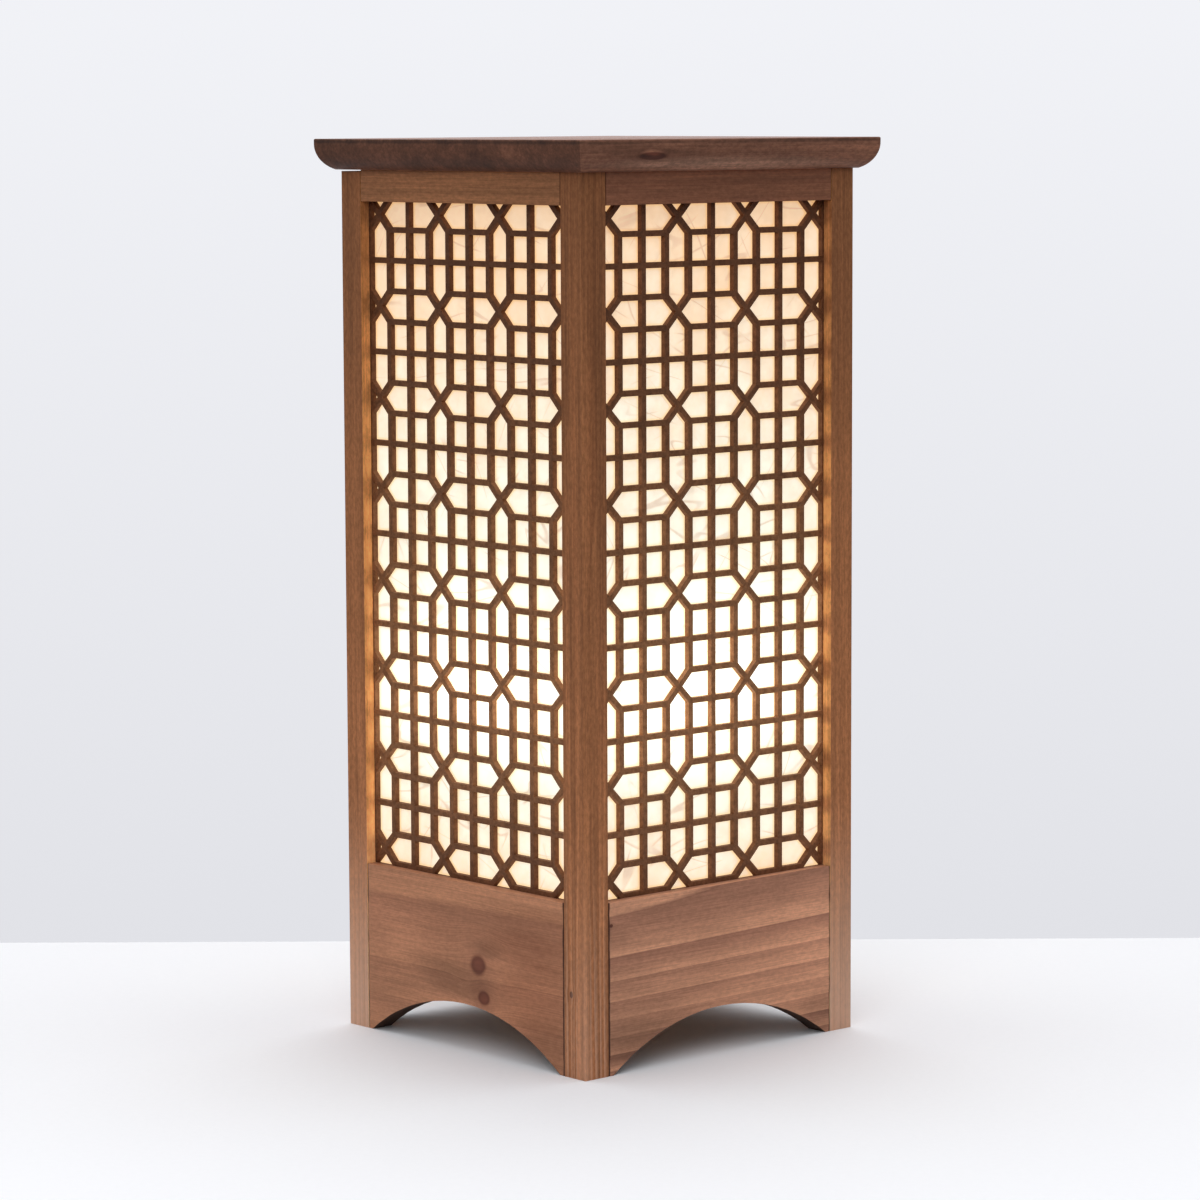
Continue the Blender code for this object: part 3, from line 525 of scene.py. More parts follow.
class Wood(Shader):
    """A wood's material, with one call for each kind of mark, and the points and noises that they share."""

    def __init__(self, name, grain, knots, seed):
        super().__init__(name)
        self.grain = grain
        self.knots = knots
        self.spot = self.place()
        self.distances = [self.knot_distance(knot) for knot in knots]
        bent = self.spot
        for knot, distance in zip(knots, self.distances):
            bent = self.bent_round(bent, knot, distance)
        parts = dict(zip("XYZ", self.split(bent)))
        self.height = parts["Z"]
        self.along = parts.pop(grain)
        self.across = tuple(parts.values())
        self.point = self.vector("ADD", self.join(*self.across, self.along), scaled(SEED_STEP, seed))
        self.waver = self.noise(self.point, WAVER_SCALE)
        self.fibre = self.noise(self.point, FIBRE_SCALE, detail=3.0, roughness=0.65)
        self.streak = self.noise(self.point, STREAK_SCALE, detail=3.0)
        normal = self.node("ShaderNodeTexCoord").outputs["Normal"]
        self.facing = dict(zip("XYZ", self.split(normal)))

    def knot_distance(self, knot):
        """How far a point is from a knot's axis, in knot radii; the knot is longer along the grain."""
        centre, through, radius, length, _ = knot
        scale = [1 / radius] * 3
        scale["XYZ".index(through)] = 1 / KNOT_DEPTH
        scale["XYZ".index(self.grain)] /= length
        away = self.vector("SUBTRACT", self.spot, centre)
        return self.vector("LENGTH", self.vector("MULTIPLY", away, tuple(scale)))

    def bent_round(self, point, knot, distance):
        """A point moved so that the grain flows round a knot."""
        centre, through = knot[:2]
        keep = [1.0] * 3
        keep["XYZ".index(through)] = 0.0
        keep["XYZ".index(self.grain)] = 0.0
        away = self.vector("SUBTRACT", point, centre)
        across = self.vector("MULTIPLY", away, tuple(keep))
        near = self.math("POWER", self.math("DIVIDE", distance, KNOT_PULL_REACH), 2.0)
        near = self.math("EXPONENT", self.math("MULTIPLY", near, -1.0))
        pull = self.math("MULTIPLY", near, KNOT_PULL)
        return self.vector("SUBTRACT", point, self.vector("MULTIPLY", across, self.join(pull, pull, pull)))

    def ring_depth(self, pith, ring, contrast, wander, uneven, taper, phase):
        """How dark the growth rings are, from 0 at a ring's pale end to the contrast at its start."""
        drift = self.swing(self.noise(self.point, DRIFT_SCALE))
        spread = self.swing(self.noise(self.point, SPREAD_SCALE, detail=1.0))
        radius = self.vector("SUBTRACT", self.join(*self.across, 0.0), (*pith, 0.0))
        radius = self.vector("LENGTH", radius)
        radius = self.math("ADD", radius, self.math("MULTIPLY", drift, DRIFT_SHARE * wander))
        radius = self.math("ADD", radius, self.math("MULTIPLY", self.swing(self.waver), wander))
        radius = self.math("ADD", radius, self.math("MULTIPLY", spread, uneven))
        radius = self.math("MULTIPLY_ADD", self.along, taper, radius)
        rings = self.math("ADD", self.math("DIVIDE", radius, ring), phase)
        depth = self.ramp(self.math("FRACT", rings), RING_PROFILE)
        number = {"W": self.math("FLOOR", rings)}
        chance = self.node("ShaderNodeTexWhiteNoise", number, noise_dimensions="1D").outputs["Value"]
        strength = self.between(chance, 0.0, 1.0, WEAKEST_RING * contrast, contrast)
        return self.math("MULTIPLY", depth, strength)

    def grained(self, colour, streaks, mottle, specks):
        """A colour with fibres, streaks, slow changes of tone, mottling and specks."""
        tone = self.noise(self.point, TONE_SCALE)
        colour = self.vary(colour, self.fibre, *FIBRE_TONES, spread=0.22)
        colour = self.vary(colour, self.streak, 1 - streaks, 1 + streaks, spread=0.18)
        colour = self.vary(colour, tone, *TONE_TONES, spread=0.25)
        colour = self.vary(colour, self.waver, 1 - mottle, 1 + mottle)
        if specks:
            speck = self.noise(self.point, SPECK_SCALE, detail=3.0, roughness=0.7)
            colour = self.vary(colour, speck, 1 - specks, 1 + specks)
        return colour

    def knotted(self, colour, dark):
        """A colour with the knots in it: a darker surround, and a red heart with a dark rim."""
        for knot, distance in zip(self.knots, self.distances):
            ragged = self.math("ADD", distance, self.math("MULTIPLY", self.waver, KNOT_RAGGED))
            surround = self.between(ragged, *KNOT_SURROUND, high=KNOT_SURROUND_SHARE)
            colour = self.mix(surround, colour, dark)
            heart = self.shade(self.shade(dark, KNOT_RED), knot[-1])
            rim = self.math("ABSOLUTE", self.math("SUBTRACT", ragged, KNOT_RIM))
            heart = self.shade(heart, self.between(rim, KNOT_RIM_WIDTH, 0.0, *KNOT_RIM_TONES))
            heart = self.vary(heart, self.streak, *KNOT_STREAK_TONES)
            colour = self.mix(self.between(ragged, *KNOT_EDGE, high=KNOT_SHARE), colour, heart)
        return colour

    def stain_and_shade_patch(self, colour, stain):
        """A colour with a darker or paler patch on it, which has an uneven edge; some patches are painted
        light and shade.
        """
        centre, reach, tone = stain
        away = self.vector("DIVIDE", self.vector("SUBTRACT", self.spot, centre), reach)
        away = self.math("ADD", self.vector("LENGTH", away), self.swing(self.waver))
        return self.mix(self.between(away, *STAIN_EDGE), colour, self.shade(colour, tone))

    def ended(self, colour, tone):
        """A colour with another tone on the end grain, which takes more stain; on the panels' arch
        undersides it is mostly painted shade.
        """
        end_grain = self.between(self.math("ABSOLUTE", self.facing[self.grain]), *END_GRAIN_TURN)
        return self.mix(end_grain, colour, self.shade(colour, tone))

    def painted_foot_sheen(self, colour, depth, share, ridges):
        """A colour made paler towards the foot by a painted sheen, which stands for the floor's light;
        ridges is how much more on the pale of the rings.
        """
        sheen_share = self.between(self.height, FOOT_SHEEN_HEIGHT, 0.0, high=share)
        raised = self.between(depth, *FOOT_SHEEN_DEPTHS, 1 + ridges, 1 - ridges)
        return self.mix(self.math("MULTIPLY", sheen_share, raised), colour, FOOT_SHEEN_COLOUR)

    def painted_inner_glow(self, colour, inward, tone, glow_beside_bars):
        """A colour made paler on the sides that face inward by the paper's glow, painted on and weaker near
        the top; the last argument is the share of it left beside a bar, a painted shadow of the bar.
        """
        turned = [self.math("MULTIPLY", self.facing[axis], way) for axis, way in zip("XY", inward)]
        reveal = self.between(self.math("MAXIMUM", *turned), *REVEAL_TURN)
        low_down = self.between(self.height, *REVEAL_HEIGHTS, REVEAL_TOP_SHARE, 1.0)
        reveal = self.math("MULTIPLY", reveal, low_down)
        above = self.math("SUBTRACT", self.height, BAR_HEIGHT)
        turn = self.math("MULTIPLY", above, 2 * math.pi / BAR_SPACING)
        let_by = self.between(self.math("COSINE", turn), *BAR_SHADOW, glow_beside_bars, 1.0)
        reveal = self.math("MULTIPLY", reveal, let_by)
        return self.mix(reveal, colour, self.shade(colour, tone))

    def jointed(self, colour, joint):
        """A colour with stain gathered at a joint, given by its distance along the grain."""
        edge = self.math("MULTIPLY", self.waver, JOINT_WAVER)
        edge = self.math("ADD", self.math("ABSOLUTE", self.along), edge)
        gathered = self.between(edge, joint, joint + JOINT_EDGE)
        gathered = self.math("MULTIPLY", gathered, self.between(self.waver, *JOINT_PATCHES, *JOINT_SHARES))
        return self.mix(gathered, colour, JOINT_COLOUR)


# Materials

def scaled(values, factor):
    return tuple(factor * value for value in values)


def wood(
    name, grain, pale, dark, pith, ring, seed,
    contrast=0.8, wander=0.001, uneven=0.0, taper=0.0, phase=0.0,
    streaks=0.08, mottle=0.04, specks=0.0, knots=(), stains_and_shading=(), end_tone=0.5, joint=None,
    foot_sheen=None, inward=None, painted_glow_tone=1.0, glow_beside_bars=1.0, coat=0.0, polish=0.0,
):
    """Sawn wood under a stain: rings round a pith line along the grain, and marks one over another, some of
    them painted light and shade.

    Grain is the axis of the grain, pith the place of the pith line on the two other axes, and ring a
    ring's width. Wander and uneven bend the rings, taper slants them along the grain, and phase moves
    them. Streaks, mottle and specks are amounts. The foot gets a painted sheen, which stands for the
    floor's light: one number gives how pale it turns the foot, and one how much its rings show.
    Inward is the way to the lamp's inside along X and Y; the sides that face it get the paper's glow
    painted on, with painted shadows of the bars.
    Coat is the varnish, and polish the varnish on top where that differs.
    """
    shader = Wood(name, grain, knots, seed)
    depth = shader.ring_depth(pith, ring, contrast, wander, uneven, taper, phase)
    colour = shader.mix(depth, pale, dark)
    colour = shader.grained(colour, streaks, mottle, specks)
    colour = shader.knotted(colour, dark)
    for stain in stains_and_shading:
        colour = shader.stain_and_shade_patch(colour, stain)
    colour = shader.ended(colour, end_tone)
    if foot_sheen:
        colour = shader.painted_foot_sheen(colour, depth, *foot_sheen)
    if inward:
        colour = shader.painted_inner_glow(colour, inward, painted_glow_tone, glow_beside_bars)
    if joint:
        colour = shader.jointed(colour, joint)
    relief = shader.math("SUBTRACT", shader.fibre, shader.math("MULTIPLY", depth, RING_RELIEF))
    return shader.finish(
        Base_Color=colour,
        Roughness=shader.level(shader.fibre, *WOOD_ROUGHNESS, spread=0.3),
        Specular_IOR_Level=WOOD_SPECULAR,
        Coat_Weight=shader.between(shader.facing["Z"], *POLISH_TURN, coat, polish) if polish else coat,
        Coat_Roughness=COAT_ROUGHNESS,
        Coat_IOR=COAT_IOR,
        Normal=shader.bump(relief, WOOD_RELIEF, strength=0.5),
    )


def bulb_distance(shader, height, reach_above, reach_below):
    """How far a height is from the bulb's middle, as a share of the reach above or below it."""
    above = shader.math("SUBTRACT", height, BULB_MIDDLE)
    return shader.math(
        "MAXIMUM",
        shader.math("DIVIDE", above, reach_above),
        shader.math("DIVIDE", above, -reach_below),
    )


def lattice_wood(name, seed, level):
    """The dark cut sheet: short fibres in a felted mix, with the paper's glow painted on it, brightest
    beside the bulb.
    """
    shader = Shader(name)
    place = shader.place()
    point = shader.vector("ADD", place, (seed, seed, seed))
    felt = shader.noise(point, LATTICE_FELT_SCALE, detail=4.0, roughness=0.65)
    cloud = shader.noise(point, LATTICE_CLOUD_SCALE)
    colour = shader.mix(shader.level(felt, 0.0, 1.0), LATTICE_DARK, LATTICE_LIGHT)
    colour = shader.vary(colour, cloud, *scaled(LATTICE_CLOUD_TONES, level))
    away = bulb_distance(shader, shader.split(place)[2], LATTICE_PAINTED_GLOW_ABOVE, LATTICE_PAINTED_GLOW_BELOW)
    lattice_glow = shader.math("DIVIDE", 1.0, shader.math("ADD", shader.math("POWER", away, 2.0), 1.0))
    colour = shader.mix(lattice_glow, colour, shader.shade(colour, LATTICE_PAINTED_GLOW_TONE), blend="ADD")
    return shader.finish(
        Base_Color=colour,
        Roughness=LATTICE_ROUGHNESS,
        Specular_IOR_Level=WOOD_SPECULAR,
        Normal=shader.bump(felt, LATTICE_RELIEF, strength=0.4),
    )


def wisps(shader, across, height, turn, width, sparse):
    """Loose fibres lying mostly one way: level lines of a drawn-out noise, kept only in patches."""
    flat = {"Vector": shader.join(across, height, turn), "Angle": -turn}
    place = shader.node("ShaderNodeVectorRotate", flat, rotation_type="Z_AXIS").outputs["Vector"]
    away = shader.math("ABSOLUTE", shader.swing(shader.noise(place, FIBRE_LINE_SCALE, detail=1.0)))
    line = shader.between(away, width, FIBRE_CORE * width)
    shifted = shader.vector("ADD", place, FIBRE_PATCH_SHIFT)
    patch = shader.noise(shifted, FIBRE_PATCH_SCALE, detail=1.0)
    return shader.math("MULTIPLY", line, shader.between(patch, sparse, sparse + FIBRE_PATCH_EDGE))


def glow_distance(shader, x, y, z):
    """How far a point on a paper is from the glow's middle, as a share of the glow's reach."""
    beside = shader.math("ADD", shader.math("POWER", x, 2.0), shader.math("POWER", y, 2.0))
    beside = shader.math("DIVIDE", shader.math("SUBTRACT", beside, PAPER_PLANE**2), GLOW_WIDTH**2)
    height = bulb_distance(shader, z, GLOW_ABOVE, GLOW_BELOW)
    away = shader.math("SQRT", shader.math("ADD", beside, shader.math("POWER", height, 2.0)))
    return shader.math("MULTIPLY", away, shader.math("MULTIPLY_ADD", x, -GLOW_LEAN / PAPER_PLANE, 1.0))


def glow_level(shader, away):
    """How bright the paper is, as a share of its brightest: hot beside the bulb, dimmer at the rim."""
    inside = shader.math("SUBTRACT", 1.0, shader.math("DIVIDE", away, GLOW_HOT_REACH))
    inside = shader.math("MAXIMUM", inside, 0.0)
    hot = shader.math("MULTIPLY", shader.math("POWER", inside, 2.0), GLOW_HOT / GLOW_FULL)
    base = GLOW_BASE / GLOW_FULL
    return shader.math("ADD", shader.between(away, *GLOW_RIM, base, GLOW_RIM_LEVEL * base), hot)


def paper():
    """Mulberry paper lit from behind: brightest beside the bulb, with fibres that show dark."""
    shader = Shader("glowing_paper")
    place = shader.place()
    x, y, z = shader.split(place)
    away = glow_distance(shader, x, y, z)
    cloud = shader.noise(place, PAPER_CLOUD_SCALE, detail=4.0, roughness=0.6)
    mottle = shader.noise(place, PAPER_MOTTLE_SCALE, detail=3.0, roughness=0.6)
    uneven = shader.math("MULTIPLY", shader.swing(cloud), PAPER_CLOUD_SHARE)
    near = shader.between(shader.math("ADD", away, uneven), *GLOW_NEAR_REACH)
    mottled = shader.level(mottle, *PAPER_MOTTLE_TONES, spread=0.3)
    glow = shader.math("MULTIPLY", glow_level(shader, away), mottled)

    across = shader.math("ADD", x, y)
    fibres = 0.0
    for turn, width, sparse in FIBRE_SETS:
        fibres = shader.math("MAXIMUM", fibres, wisps(shader, across, z, turn, width, sparse))
    tint = shader.mix(near, GLOW_FAR, GLOW_NEAR)
    reach = {"Distance": GLOW_EDGE_REACH}
    openness = shader.node("ShaderNodeAmbientOcclusion", reach, samples=8).outputs["AO"]
    edge = shader.between(openness, *GLOW_EDGE_OPENNESS)
    tint = shader.mix(edge, tint, shader.shade(tint, GLOW_EDGE_TONE))
    tint = shader.mix(shader.math("MULTIPLY", fibres, FIBRE_GLOW_SHARE), tint, FIBRE_GLOW_COLOUR)
    share = shader.math("MULTIPLY", fibres, PAPER_FIBRE_SHARE)
    return shader.finish(
        Base_Color=shader.mix(share, PAPER_COLOUR, PAPER_FIBRE_COLOUR),
        Roughness=PAPER_ROUGHNESS,
        Emission_Color=shader.shade(tint, glow),
        Emission_Strength=GLOW_FULL,
        Normal=shader.bump(mottle, PAPER_RELIEF, strength=0.5),
    )


def speckled(name):
    """A plain moulded, glazed or plated finish with a slight unevenness."""
    colour, roughness, scale, amount, metallic = FINISHES[name]
    shader = Shader(name)
    place = shader.place()
    grain = shader.noise(place, scale, detail=3.0)
    cloud = shader.noise(place, FINISH_CLOUD * scale)
    shaded = shader.vary(colour, grain, 1 - amount, 1.0)
    shaded = shader.vary(shaded, cloud, 1 - amount, 1.0)
    gloss = [roughness + change for change in FINISH_GLOSS]
    return shader.finish(
        Base_Color=shaded,
        Roughness=shader.level(cloud, *gloss),
        Metallic=metallic,
        Normal=shader.bump(grain, FINISH_RELIEF, strength=0.4),
    )


def opal():
    """The bulb's lit diffuser, brightest at the crown."""
    shader = Shader("opal_diffuser")
    place = shader.place()
    haze = shader.noise(place, OPAL_HAZE_SCALE)
    level = shader.between(shader.split(place)[2], *OPAL_HEIGHTS, *OPAL_TONES)
    level = shader.math("MULTIPLY", level, shader.level(haze, *OPAL_HAZE_TONES))
    return shader.finish(
        Base_Color=shader.shade(OPAL_COLOUR, level),
        Roughness=OPAL_ROUGHNESS,
        Emission_Color=shader.shade(OPAL_GLOW, level),
        Emission_Strength=OPAL_POWER,
    )


def floor_felt():
    """A pale floor that shows evenly, but throws no light on the lamp from far off."""
    shader = Shader("pale_floor")
    place = shader.place()
    felt = shader.noise(place, FLOOR_FELT_SCALE, detail=3.0)
    colour = shader.vary(FLOOR_COLOUR, felt, *FLOOR_TONES, spread=0.3)
    far = shader.between(shader.vector("LENGTH", place), BOUNCE_FULL, BOUNCE_END)
    bounce = shader.node("ShaderNodeLightPath").outputs["Is Diffuse Ray"]
    colour = shader.mix(shader.math("MULTIPLY", far, bounce), colour, BLACK)
    return shader.finish(Base_Color=colour, Roughness=FLOOR_ROUGHNESS)


# Pieces

def dress(frame, names, material):
    """Gives CAD nodes a material."""
    for name in names:
        materials = frame["nodes"][name].data.materials
        materials.clear()
        materials.append(material)


def ease(frame, names):
    """Rounds the sharp edges of CAD nodes by modifiers, which leave their meshes as they are."""
    for name in names:
        modifiers = frame["nodes"][name].modifiers
        weld = modifiers.new("weld", "WELD")
        weld.merge_threshold = WELD_REACH
        bevel = modifiers.new("ease", "BEVEL")
        bevel.width = EASE
        bevel.segments = EASE_SEGMENTS
        bevel.limit_method = "ANGLE"
        bevel.angle_limit = EASE_ANGLE
        modifiers.new("normals", "WEIGHTED_NORMAL")


def add_mesh(name, shape, material):
    """A new object from a bmesh, smooth apart from its sharp edges."""
    mesh = bpy.data.meshes.new(name)
    bmesh.ops.recalc_face_normals(shape, faces=shape.faces)
    shape.to_mesh(mesh)
    shape.free()
    mesh.materials.append(material)
    mesh.shade_smooth()
    mesh.set_sharp_from_angle(angle=SHARP_ANGLE)
    made = bpy.data.objects.new(name, mesh)
    bpy.context.scene.collection.objects.link(made)
    return made


def skin(rings, capped):
    """A closed shape from ring to ring; its ends are filled, or the last ring meets the first."""
    shape = bmesh.new()
    rows = [[shape.verts.new(point) for point in ring] for ring in rings]
    following_rows = rows[1:] if capped else rows[1:] + rows[:1]
    for row, following in zip(rows, following_rows):
        for step in range(len(row)):
            after = (step + 1) % len(row)
            shape.faces.new((row[step], row[after], following[after], following[step]))
    if capped:
        shape.faces.new(rows[0])
        shape.faces.new(rows[-1])
    return shape


def stand_in(name, shape, material, node, body):
    """A finer piece in place of a CAD node."""
    piece = add_mesh(name, shape, material)
    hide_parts(node)
    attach(piece, body)


def square_ring(height, half):
    """A level square of points round the Z axis."""
    return [(half, -half, height), (half, half, height), (-half, half, height), (-half, -half, height)]


def round_ring(height, radius_at):
    """A level ring of points round the Z axis; the radius may change with the angle."""
    points = []
    for step in range(ROUND_SEGMENTS):
        angle = 2 * math.pi * step / ROUND_SEGMENTS
        radius = radius_at(angle) if callable(radius_at) else radius_at
        points.append((radius * math.cos(angle), radius * math.sin(angle), height))
    return points


def threaded_rings(low, high, radius, depth, pitch):
    """Rings of a rolled right-hand thread, which runs out at both ends."""
    rows = round(ROWS_PER_TURN * (high - low) / pitch)
    rings = []
    for row in range(rows + 1):
        height = low + (high - low) * row / rows
        full = min(1.0, (height - low) / THREAD_RUN_OUT, (high - height) / THREAD_RUN_OUT)

        def radius_at(angle):
            crest = (1 + math.cos(2 * math.pi * height / pitch - angle)) / 2
            return radius - depth * (1 - crest * full)

        rings.append(round_ring(height, radius_at))
    return rings


def top_board_piece(material):
    """The top board with a smooth moulded edge: square rings along the edge's profile.

    It sits a hair lower than the CAD node, to rest on the posts as a real board does.
    """
    low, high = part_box("top_board")
    half = high.x
    bottom, top = low.z - TOP_SEAT, high.z
    reach = (half - TOP_BOTTOM_HALF) / (1 - math.cos(TOP_EDGE_SWEEP))
    drop = (top - bottom - TOP_LAND) / math.sin(TOP_EDGE_SWEEP)
    rings = []
    for step in range(ARRIS_SEGMENTS + 1):
        angle = math.pi / 2 * (1 - step / ARRIS_SEGMENTS)
        height = top - TOP_ARRIS * (1 - math.sin(angle))
        rings.append(square_ring(height, half - TOP_ARRIS * (1 - math.cos(angle))))
    for step in range(TOP_EDGE_SEGMENTS + 1):
        angle = TOP_EDGE_SWEEP * step / TOP_EDGE_SEGMENTS
        height = top - TOP_LAND - drop * math.sin(angle)
        rings.append(square_ring(height, half - reach * (1 - math.cos(angle))))
    stand_in("moulded_top_board", skin(rings, True), material, "top_board", "lid")


def threaded_cap_piece(material, pitch):
    """The bulb's screw cap: a thread outside and a plain bore."""
    low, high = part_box("bulb_cap")
    rings = threaded_rings(low.z, high.z, high.x, CAP_THREAD_DEPTH, pitch)
    rings += [round_ring(high.z, CAP_BORE), round_ring(low.z, CAP_BORE)]
    stand_in("threaded_bulb_cap", skin(rings, False), material, "bulb_cap", "bulb")


def threaded_shell_piece(material, pitch):
    """The holder's screw shell: a thread inside, where the cap turns, and plain outside."""
    low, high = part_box("holder_shell")
    rings = threaded_rings(low.z, high.z, high.x - SHELL_WALL, SHELL_THREAD_DEPTH, pitch)
    rings += [round_ring(high.z, high.x), round_ring(low.z, high.x)]
    stand_in("threaded_holder_shell", skin(rings, False), material, "holder_shell", "frame")


def housing_piece(material):
    """The bulb's plastic body: it flares from the cap to the dome, and its spigot fills the cap."""
    low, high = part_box("bulb_housing")
    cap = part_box("bulb_cap")[1]
    bottom = cap.z + BULB_GAP
    flare = high.z - HOUSING_RIM - bottom
    rings = [round_ring(high.z, high.x)]
    for row in range(ROUND_ROWS + 1):
        share = row / ROUND_ROWS
        spread = max(0.0, math.cos(share * math.pi / 2)) ** HOUSING_FLARE_POWER
        rings.append(round_ring(bottom + flare * (1 - share), cap.x + (high.x - cap.x) * spread))
    spigot = CAP_BORE - BULB_GAP
    rings += [round_ring(bottom, spigot), round_ring(low.z, spigot)]
    stand_in("flared_bulb_housing", skin(rings, True), material, "bulb_housing", "bulb")


def dome_piece(material):
    """The hollow diffuser, open below where the housing closes it."""
    low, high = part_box("bulb_dome")
    rings = []
    for wall, rows in ((0.0, range(ROUND_ROWS + 1)), (DOME_WALL, range(ROUND_ROWS, -1, -1))):
        for row in rows:
            angle = DOME_POLE + (math.pi / 2 - DOME_POLE) * row / ROUND_ROWS
            height = low.z + (high.z - low.z - wall) * math.cos(angle)
            rings.append(round_ring(height, (high.x - wall) * math.sin(angle)))
    stand_in("round_bulb_dome", skin(rings, True), material, "bulb_dome", "bulb")


# Finishes of the sub-parts

def finish_posts(frame):
    """The posts: the rings run across both outer faces, and end pale at the outer corner."""
    for number, post in enumerate(POSTS):
        name = f"{post}_post"
        low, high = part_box(name)
        toward = [math.copysign(1, middle) for middle in ((low + high) / 2)[:2]]
        level = NEAR_POST_LEVEL if post == NEAR_POST else POST_LEVEL
        pale, dark = [scaled(colour, level) for colour in POST_COLOURS]
        material = wood(
            f"{name}_wood",
            "Z",
            pale,
            dark,
            pith=[side * (BODY_HALF - POST_PITH_IN) for side in toward],
            ring=math.sqrt(2) * POST_PITH_IN / POST_RINGS,
            seed=number,
            inward=[-side for side in toward],
            **POST_GRAIN,
            **(NEAR_POST_GRAIN if post == NEAR_POST else OTHER_POST_GRAIN),
            **(LEFT_INNER_PAINTED_GLOW if post == LEFT_POST else INNER_PAINTED_GLOW),
        )
        dress(frame, [name], material)
        ease(frame, [name])


def finish_rails(frame):
    for number, (side, (grain, outward)) in enumerate(SIDES.items()):
        name = f"{side}_top_rail"
        pith = (outward * RAIL_PITH_OUT, RAIL_PITH_HEIGHT)
        seed = RAIL_SEED + number
        material = wood(f"{side}_rail_wood", grain, *RAIL_COLOURS[grain], pith, seed=seed, **RAIL_GRAIN)
        dress(frame, [name], material)
        ease(frame, [name])


def finish_panels(frame):
    """The bottom panels: plain sawn on the front and back, banded by their rings on the right and left."""
    for number, (side, (grain, outward)) in enumerate(SIDES.items()):
        name = f"{side}_bottom_panel"
        material = wood(
            f"{side}_panel_wood",
            grain,
            *PANEL_COLOURS[grain],
            pith=(outward * (BODY_HALF - PANEL_PITHS_IN[grain]), PANEL_PITH_HEIGHTS[grain]),
            seed=PANEL_SEED + number,
            knots=PANEL_KNOTS.get(side, ()),
            stains_and_shading=PANEL_TONE_PATCHES.get(side, ()),
            **PANEL_GRAIN,
            **PANEL_RINGS[grain],
        )
        dress(frame, [name], material)
        ease(frame, [name])


def finish_battens(frame):
    """The cleats under the base board and the battens under the top board."""
    for number, (side, (grain, _)) in enumerate(SIDES.items()):
        names = [f"{side}_base_cleat", f"{side}_lid_batten"]
        seed = INNER_SEED + number
        material = wood(f"{side}_inner_wood", grain, *INNER_COLOURS, INNER_PITH, seed=seed, **INNER_GRAIN)
        dress(frame, names, material)
        ease(frame, names)


def finish_lattices(frame):
    for number, side in enumerate(SIDES):
        material = lattice_wood(f"{side}_lattice_wood", number, LATTICE_LEVELS.get(side, 1.0))
        dress(frame, [f"{side}_lattice"], material)


def finish_boards(frame):
    """The top board, which is replaced by a finer piece, and the base board."""
    top_board_piece(wood("top_board_wood", "Y", *TOP_COLOURS, TOP_PITH, seed=TOP_SEED, **TOP_GRAIN))
    ply = wood("base_plywood", "X", *PLY_COLOURS, PLY_PITH, seed=PLY_SEED, **PLY_GRAIN)
    dress(frame, ["base_board"], ply)
    ease(frame, ["base_board"])


def finish_holder(frame, pitch):
    """The lamp holder and the grommet beside it."""
    dress(frame, ["cord_grommet"], speckled("grommet_rubber"))
    dress(frame, ["holder_body"], speckled("glazed_porcelain"))
    dress(frame, ["holder_contact"], speckled("spring_brass"))
    dress(frame, ["holder_screw_1", "holder_screw_2"], speckled("zinc_plate"))
    ease(frame, ["cord_grommet", "holder_body", "holder_screw_1", "holder_screw_2"])
    threaded_shell_piece(speckled("pressed_brass"), pitch)


def finish_bulb(frame, pitch):
    dress(frame, ["bulb_tip"], speckled("solder"))
    dress(frame, ["bulb_insulator"], speckled("black_glass"))
    dress(frame, ["bulb_led_board"], speckled("white_solder_mask"))
    threaded_cap_piece(speckled("nickel_plate"), pitch)
    housing_piece(speckled("white_plastic"))
    dome_piece(opal())


def finish_all(frame):
    """Gives every CAD node its finish or its finer piece."""
    finish_posts(frame)
    finish_rails(frame)
    finish_panels(frame)
    finish_battens(frame)
    finish_lattices(frame)
    finish_boards(frame)
    dress(frame, [f"{side}_paper" for side in SIDES], paper())
    thread_pitch = 2 * math.pi * frame["record"]["behaviour"]["couplings"][0]["ratio"]
    finish_holder(frame, thread_pitch)
    finish_bulb(frame, thread_pitch)


# Stage, light and camera

def add_floor():
    """The floor, which ends in a straight edge behind the lamp, level in the camera's view."""
    front = FLOOR_BACK - 2 * FLOOR_REACH
    outline = (
        (-FLOOR_REACH, front),
        (FLOOR_REACH, front),
        (FLOOR_REACH, FLOOR_BACK),
        (-FLOOR_REACH, FLOOR_BACK),
    )
    shape = bmesh.new()
    shape.faces.new([shape.verts.new((x, y, 0.0)) for x, y in outline])
    floor = add_mesh("floor", shape, floor_felt())
    floor.rotation_euler = (0, 0, CAMERA_AZIMUTH)


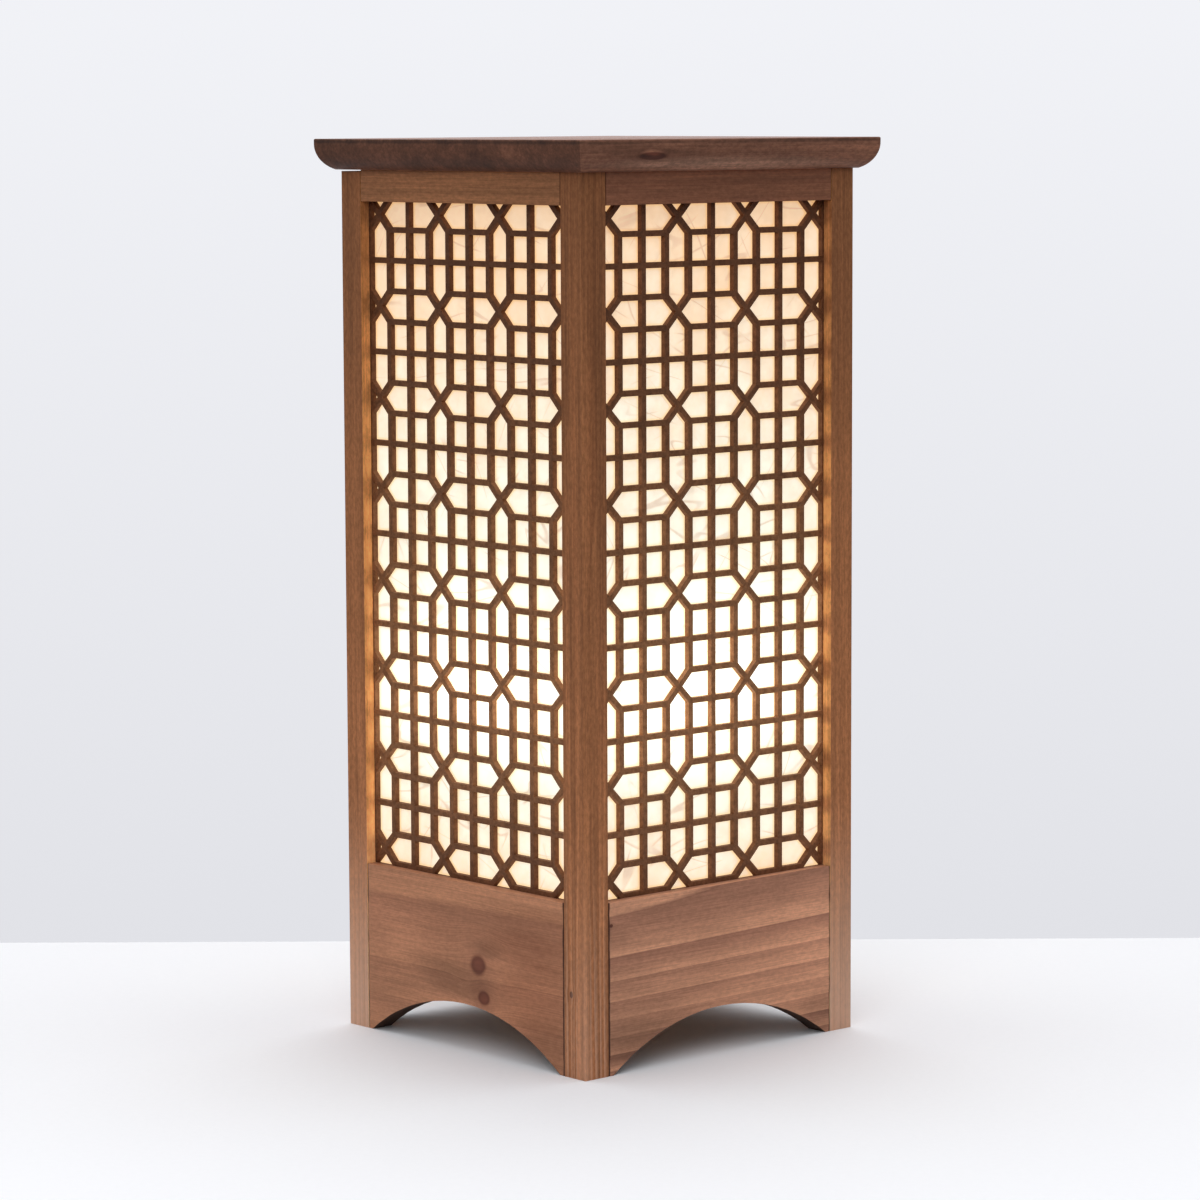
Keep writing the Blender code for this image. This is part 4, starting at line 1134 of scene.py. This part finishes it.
def light_world():
    """A pale backdrop for the eye and for reflections, and a soft light from above for the lamp."""
    world = bpy.data.worlds.new("studio")
    bpy.context.scene.world = world
    world.use_nodes = True
    sky = Nodes(world.node_tree)
    sky.nodes.clear()
    x, y, slope = sky.split(sky.node("ShaderNodeTexCoord").outputs["Generated"])

    slopes = {"Value": slope, "From Min": BACKDROP_LOW_SLOPE, "From Max": BACKDROP_HIGH_SLOPE}
    share = sky.node("ShaderNodeMapRange", slopes).outputs["Result"]
    backdrop = sky.mix(share, BACKDROP_LOW, BACKDROP_HIGH)
    seen = sky.node("ShaderNodeBackground", {"Color": backdrop}).outputs[0]

    height = sky.math("POWER", sky.math("MAXIMUM", slope, 0.0), 2.0)
    across = sky.math("MULTIPLY", x, -math.sin(CAMERA_AZIMUTH))
    behind = sky.math("MULTIPLY_ADD", y, math.cos(CAMERA_AZIMUTH), across)
    lean = sky.math("MULTIPLY_ADD", behind, AMBIENT_LEAN, 1.0)
    strength = sky.math("MULTIPLY_ADD", height, AMBIENT_ZENITH - AMBIENT_HORIZON, AMBIENT_HORIZON)
    strength = sky.math("MULTIPLY", strength, lean)
    strength = sky.math("MULTIPLY", strength, sky.math("GREATER_THAN", slope, 0.0))
    soft = sky.node("ShaderNodeBackground", {"Color": WHITE, "Strength": strength}).outputs[0]

    path = sky.node("ShaderNodeLightPath").outputs
    eye = sky.math("MAXIMUM", path["Is Camera Ray"], path["Is Glossy Ray"])
    eye = sky.math("MAXIMUM", eye, path["Is Transmission Ray"])
    chosen = sky.node("ShaderNodeMixShader", {0: eye, 1: soft, 2: seen}).outputs[0]
    sky.node("ShaderNodeOutputWorld", {"Surface": chosen})


def add_key_light():
    data = bpy.data.lights.new("key", "AREA")
    data.shape = "SQUARE"
    data.size = KEY_SIZE
    data.energy = KEY_POWER
    key = bpy.data.objects.new("key", data)
    key.location = KEY_PLACE
    away = Vector(KEY_PLACE) - Vector(KEY_AIM)
    key.rotation_euler = away.to_track_quat("Z", "Y").to_euler()
    bpy.context.scene.collection.objects.link(key)


def add_camera():
    data = bpy.data.cameras.new("camera")
    data.sensor_width = CAMERA_SENSOR
    data.lens = CAMERA_LENS
    camera = bpy.data.objects.new("camera", data)
    turn = Matrix.Rotation(CAMERA_AZIMUTH, 4, "Z")
    tilt = Matrix.Rotation(math.pi / 2 + CAMERA_PITCH, 4, "X")
    roll = Matrix.Rotation(CAMERA_ROLL, 4, "Z")
    camera.matrix_world = Matrix.Translation(CAMERA_PLACE) @ turn @ tilt @ roll
    bpy.context.scene.collection.objects.link(camera)
    bpy.context.scene.camera = camera


bpy.context.scene.view_settings.view_transform = "Standard"
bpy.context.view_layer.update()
finish_all(frame)
add_floor()
light_world()
add_key_light()
add_camera()
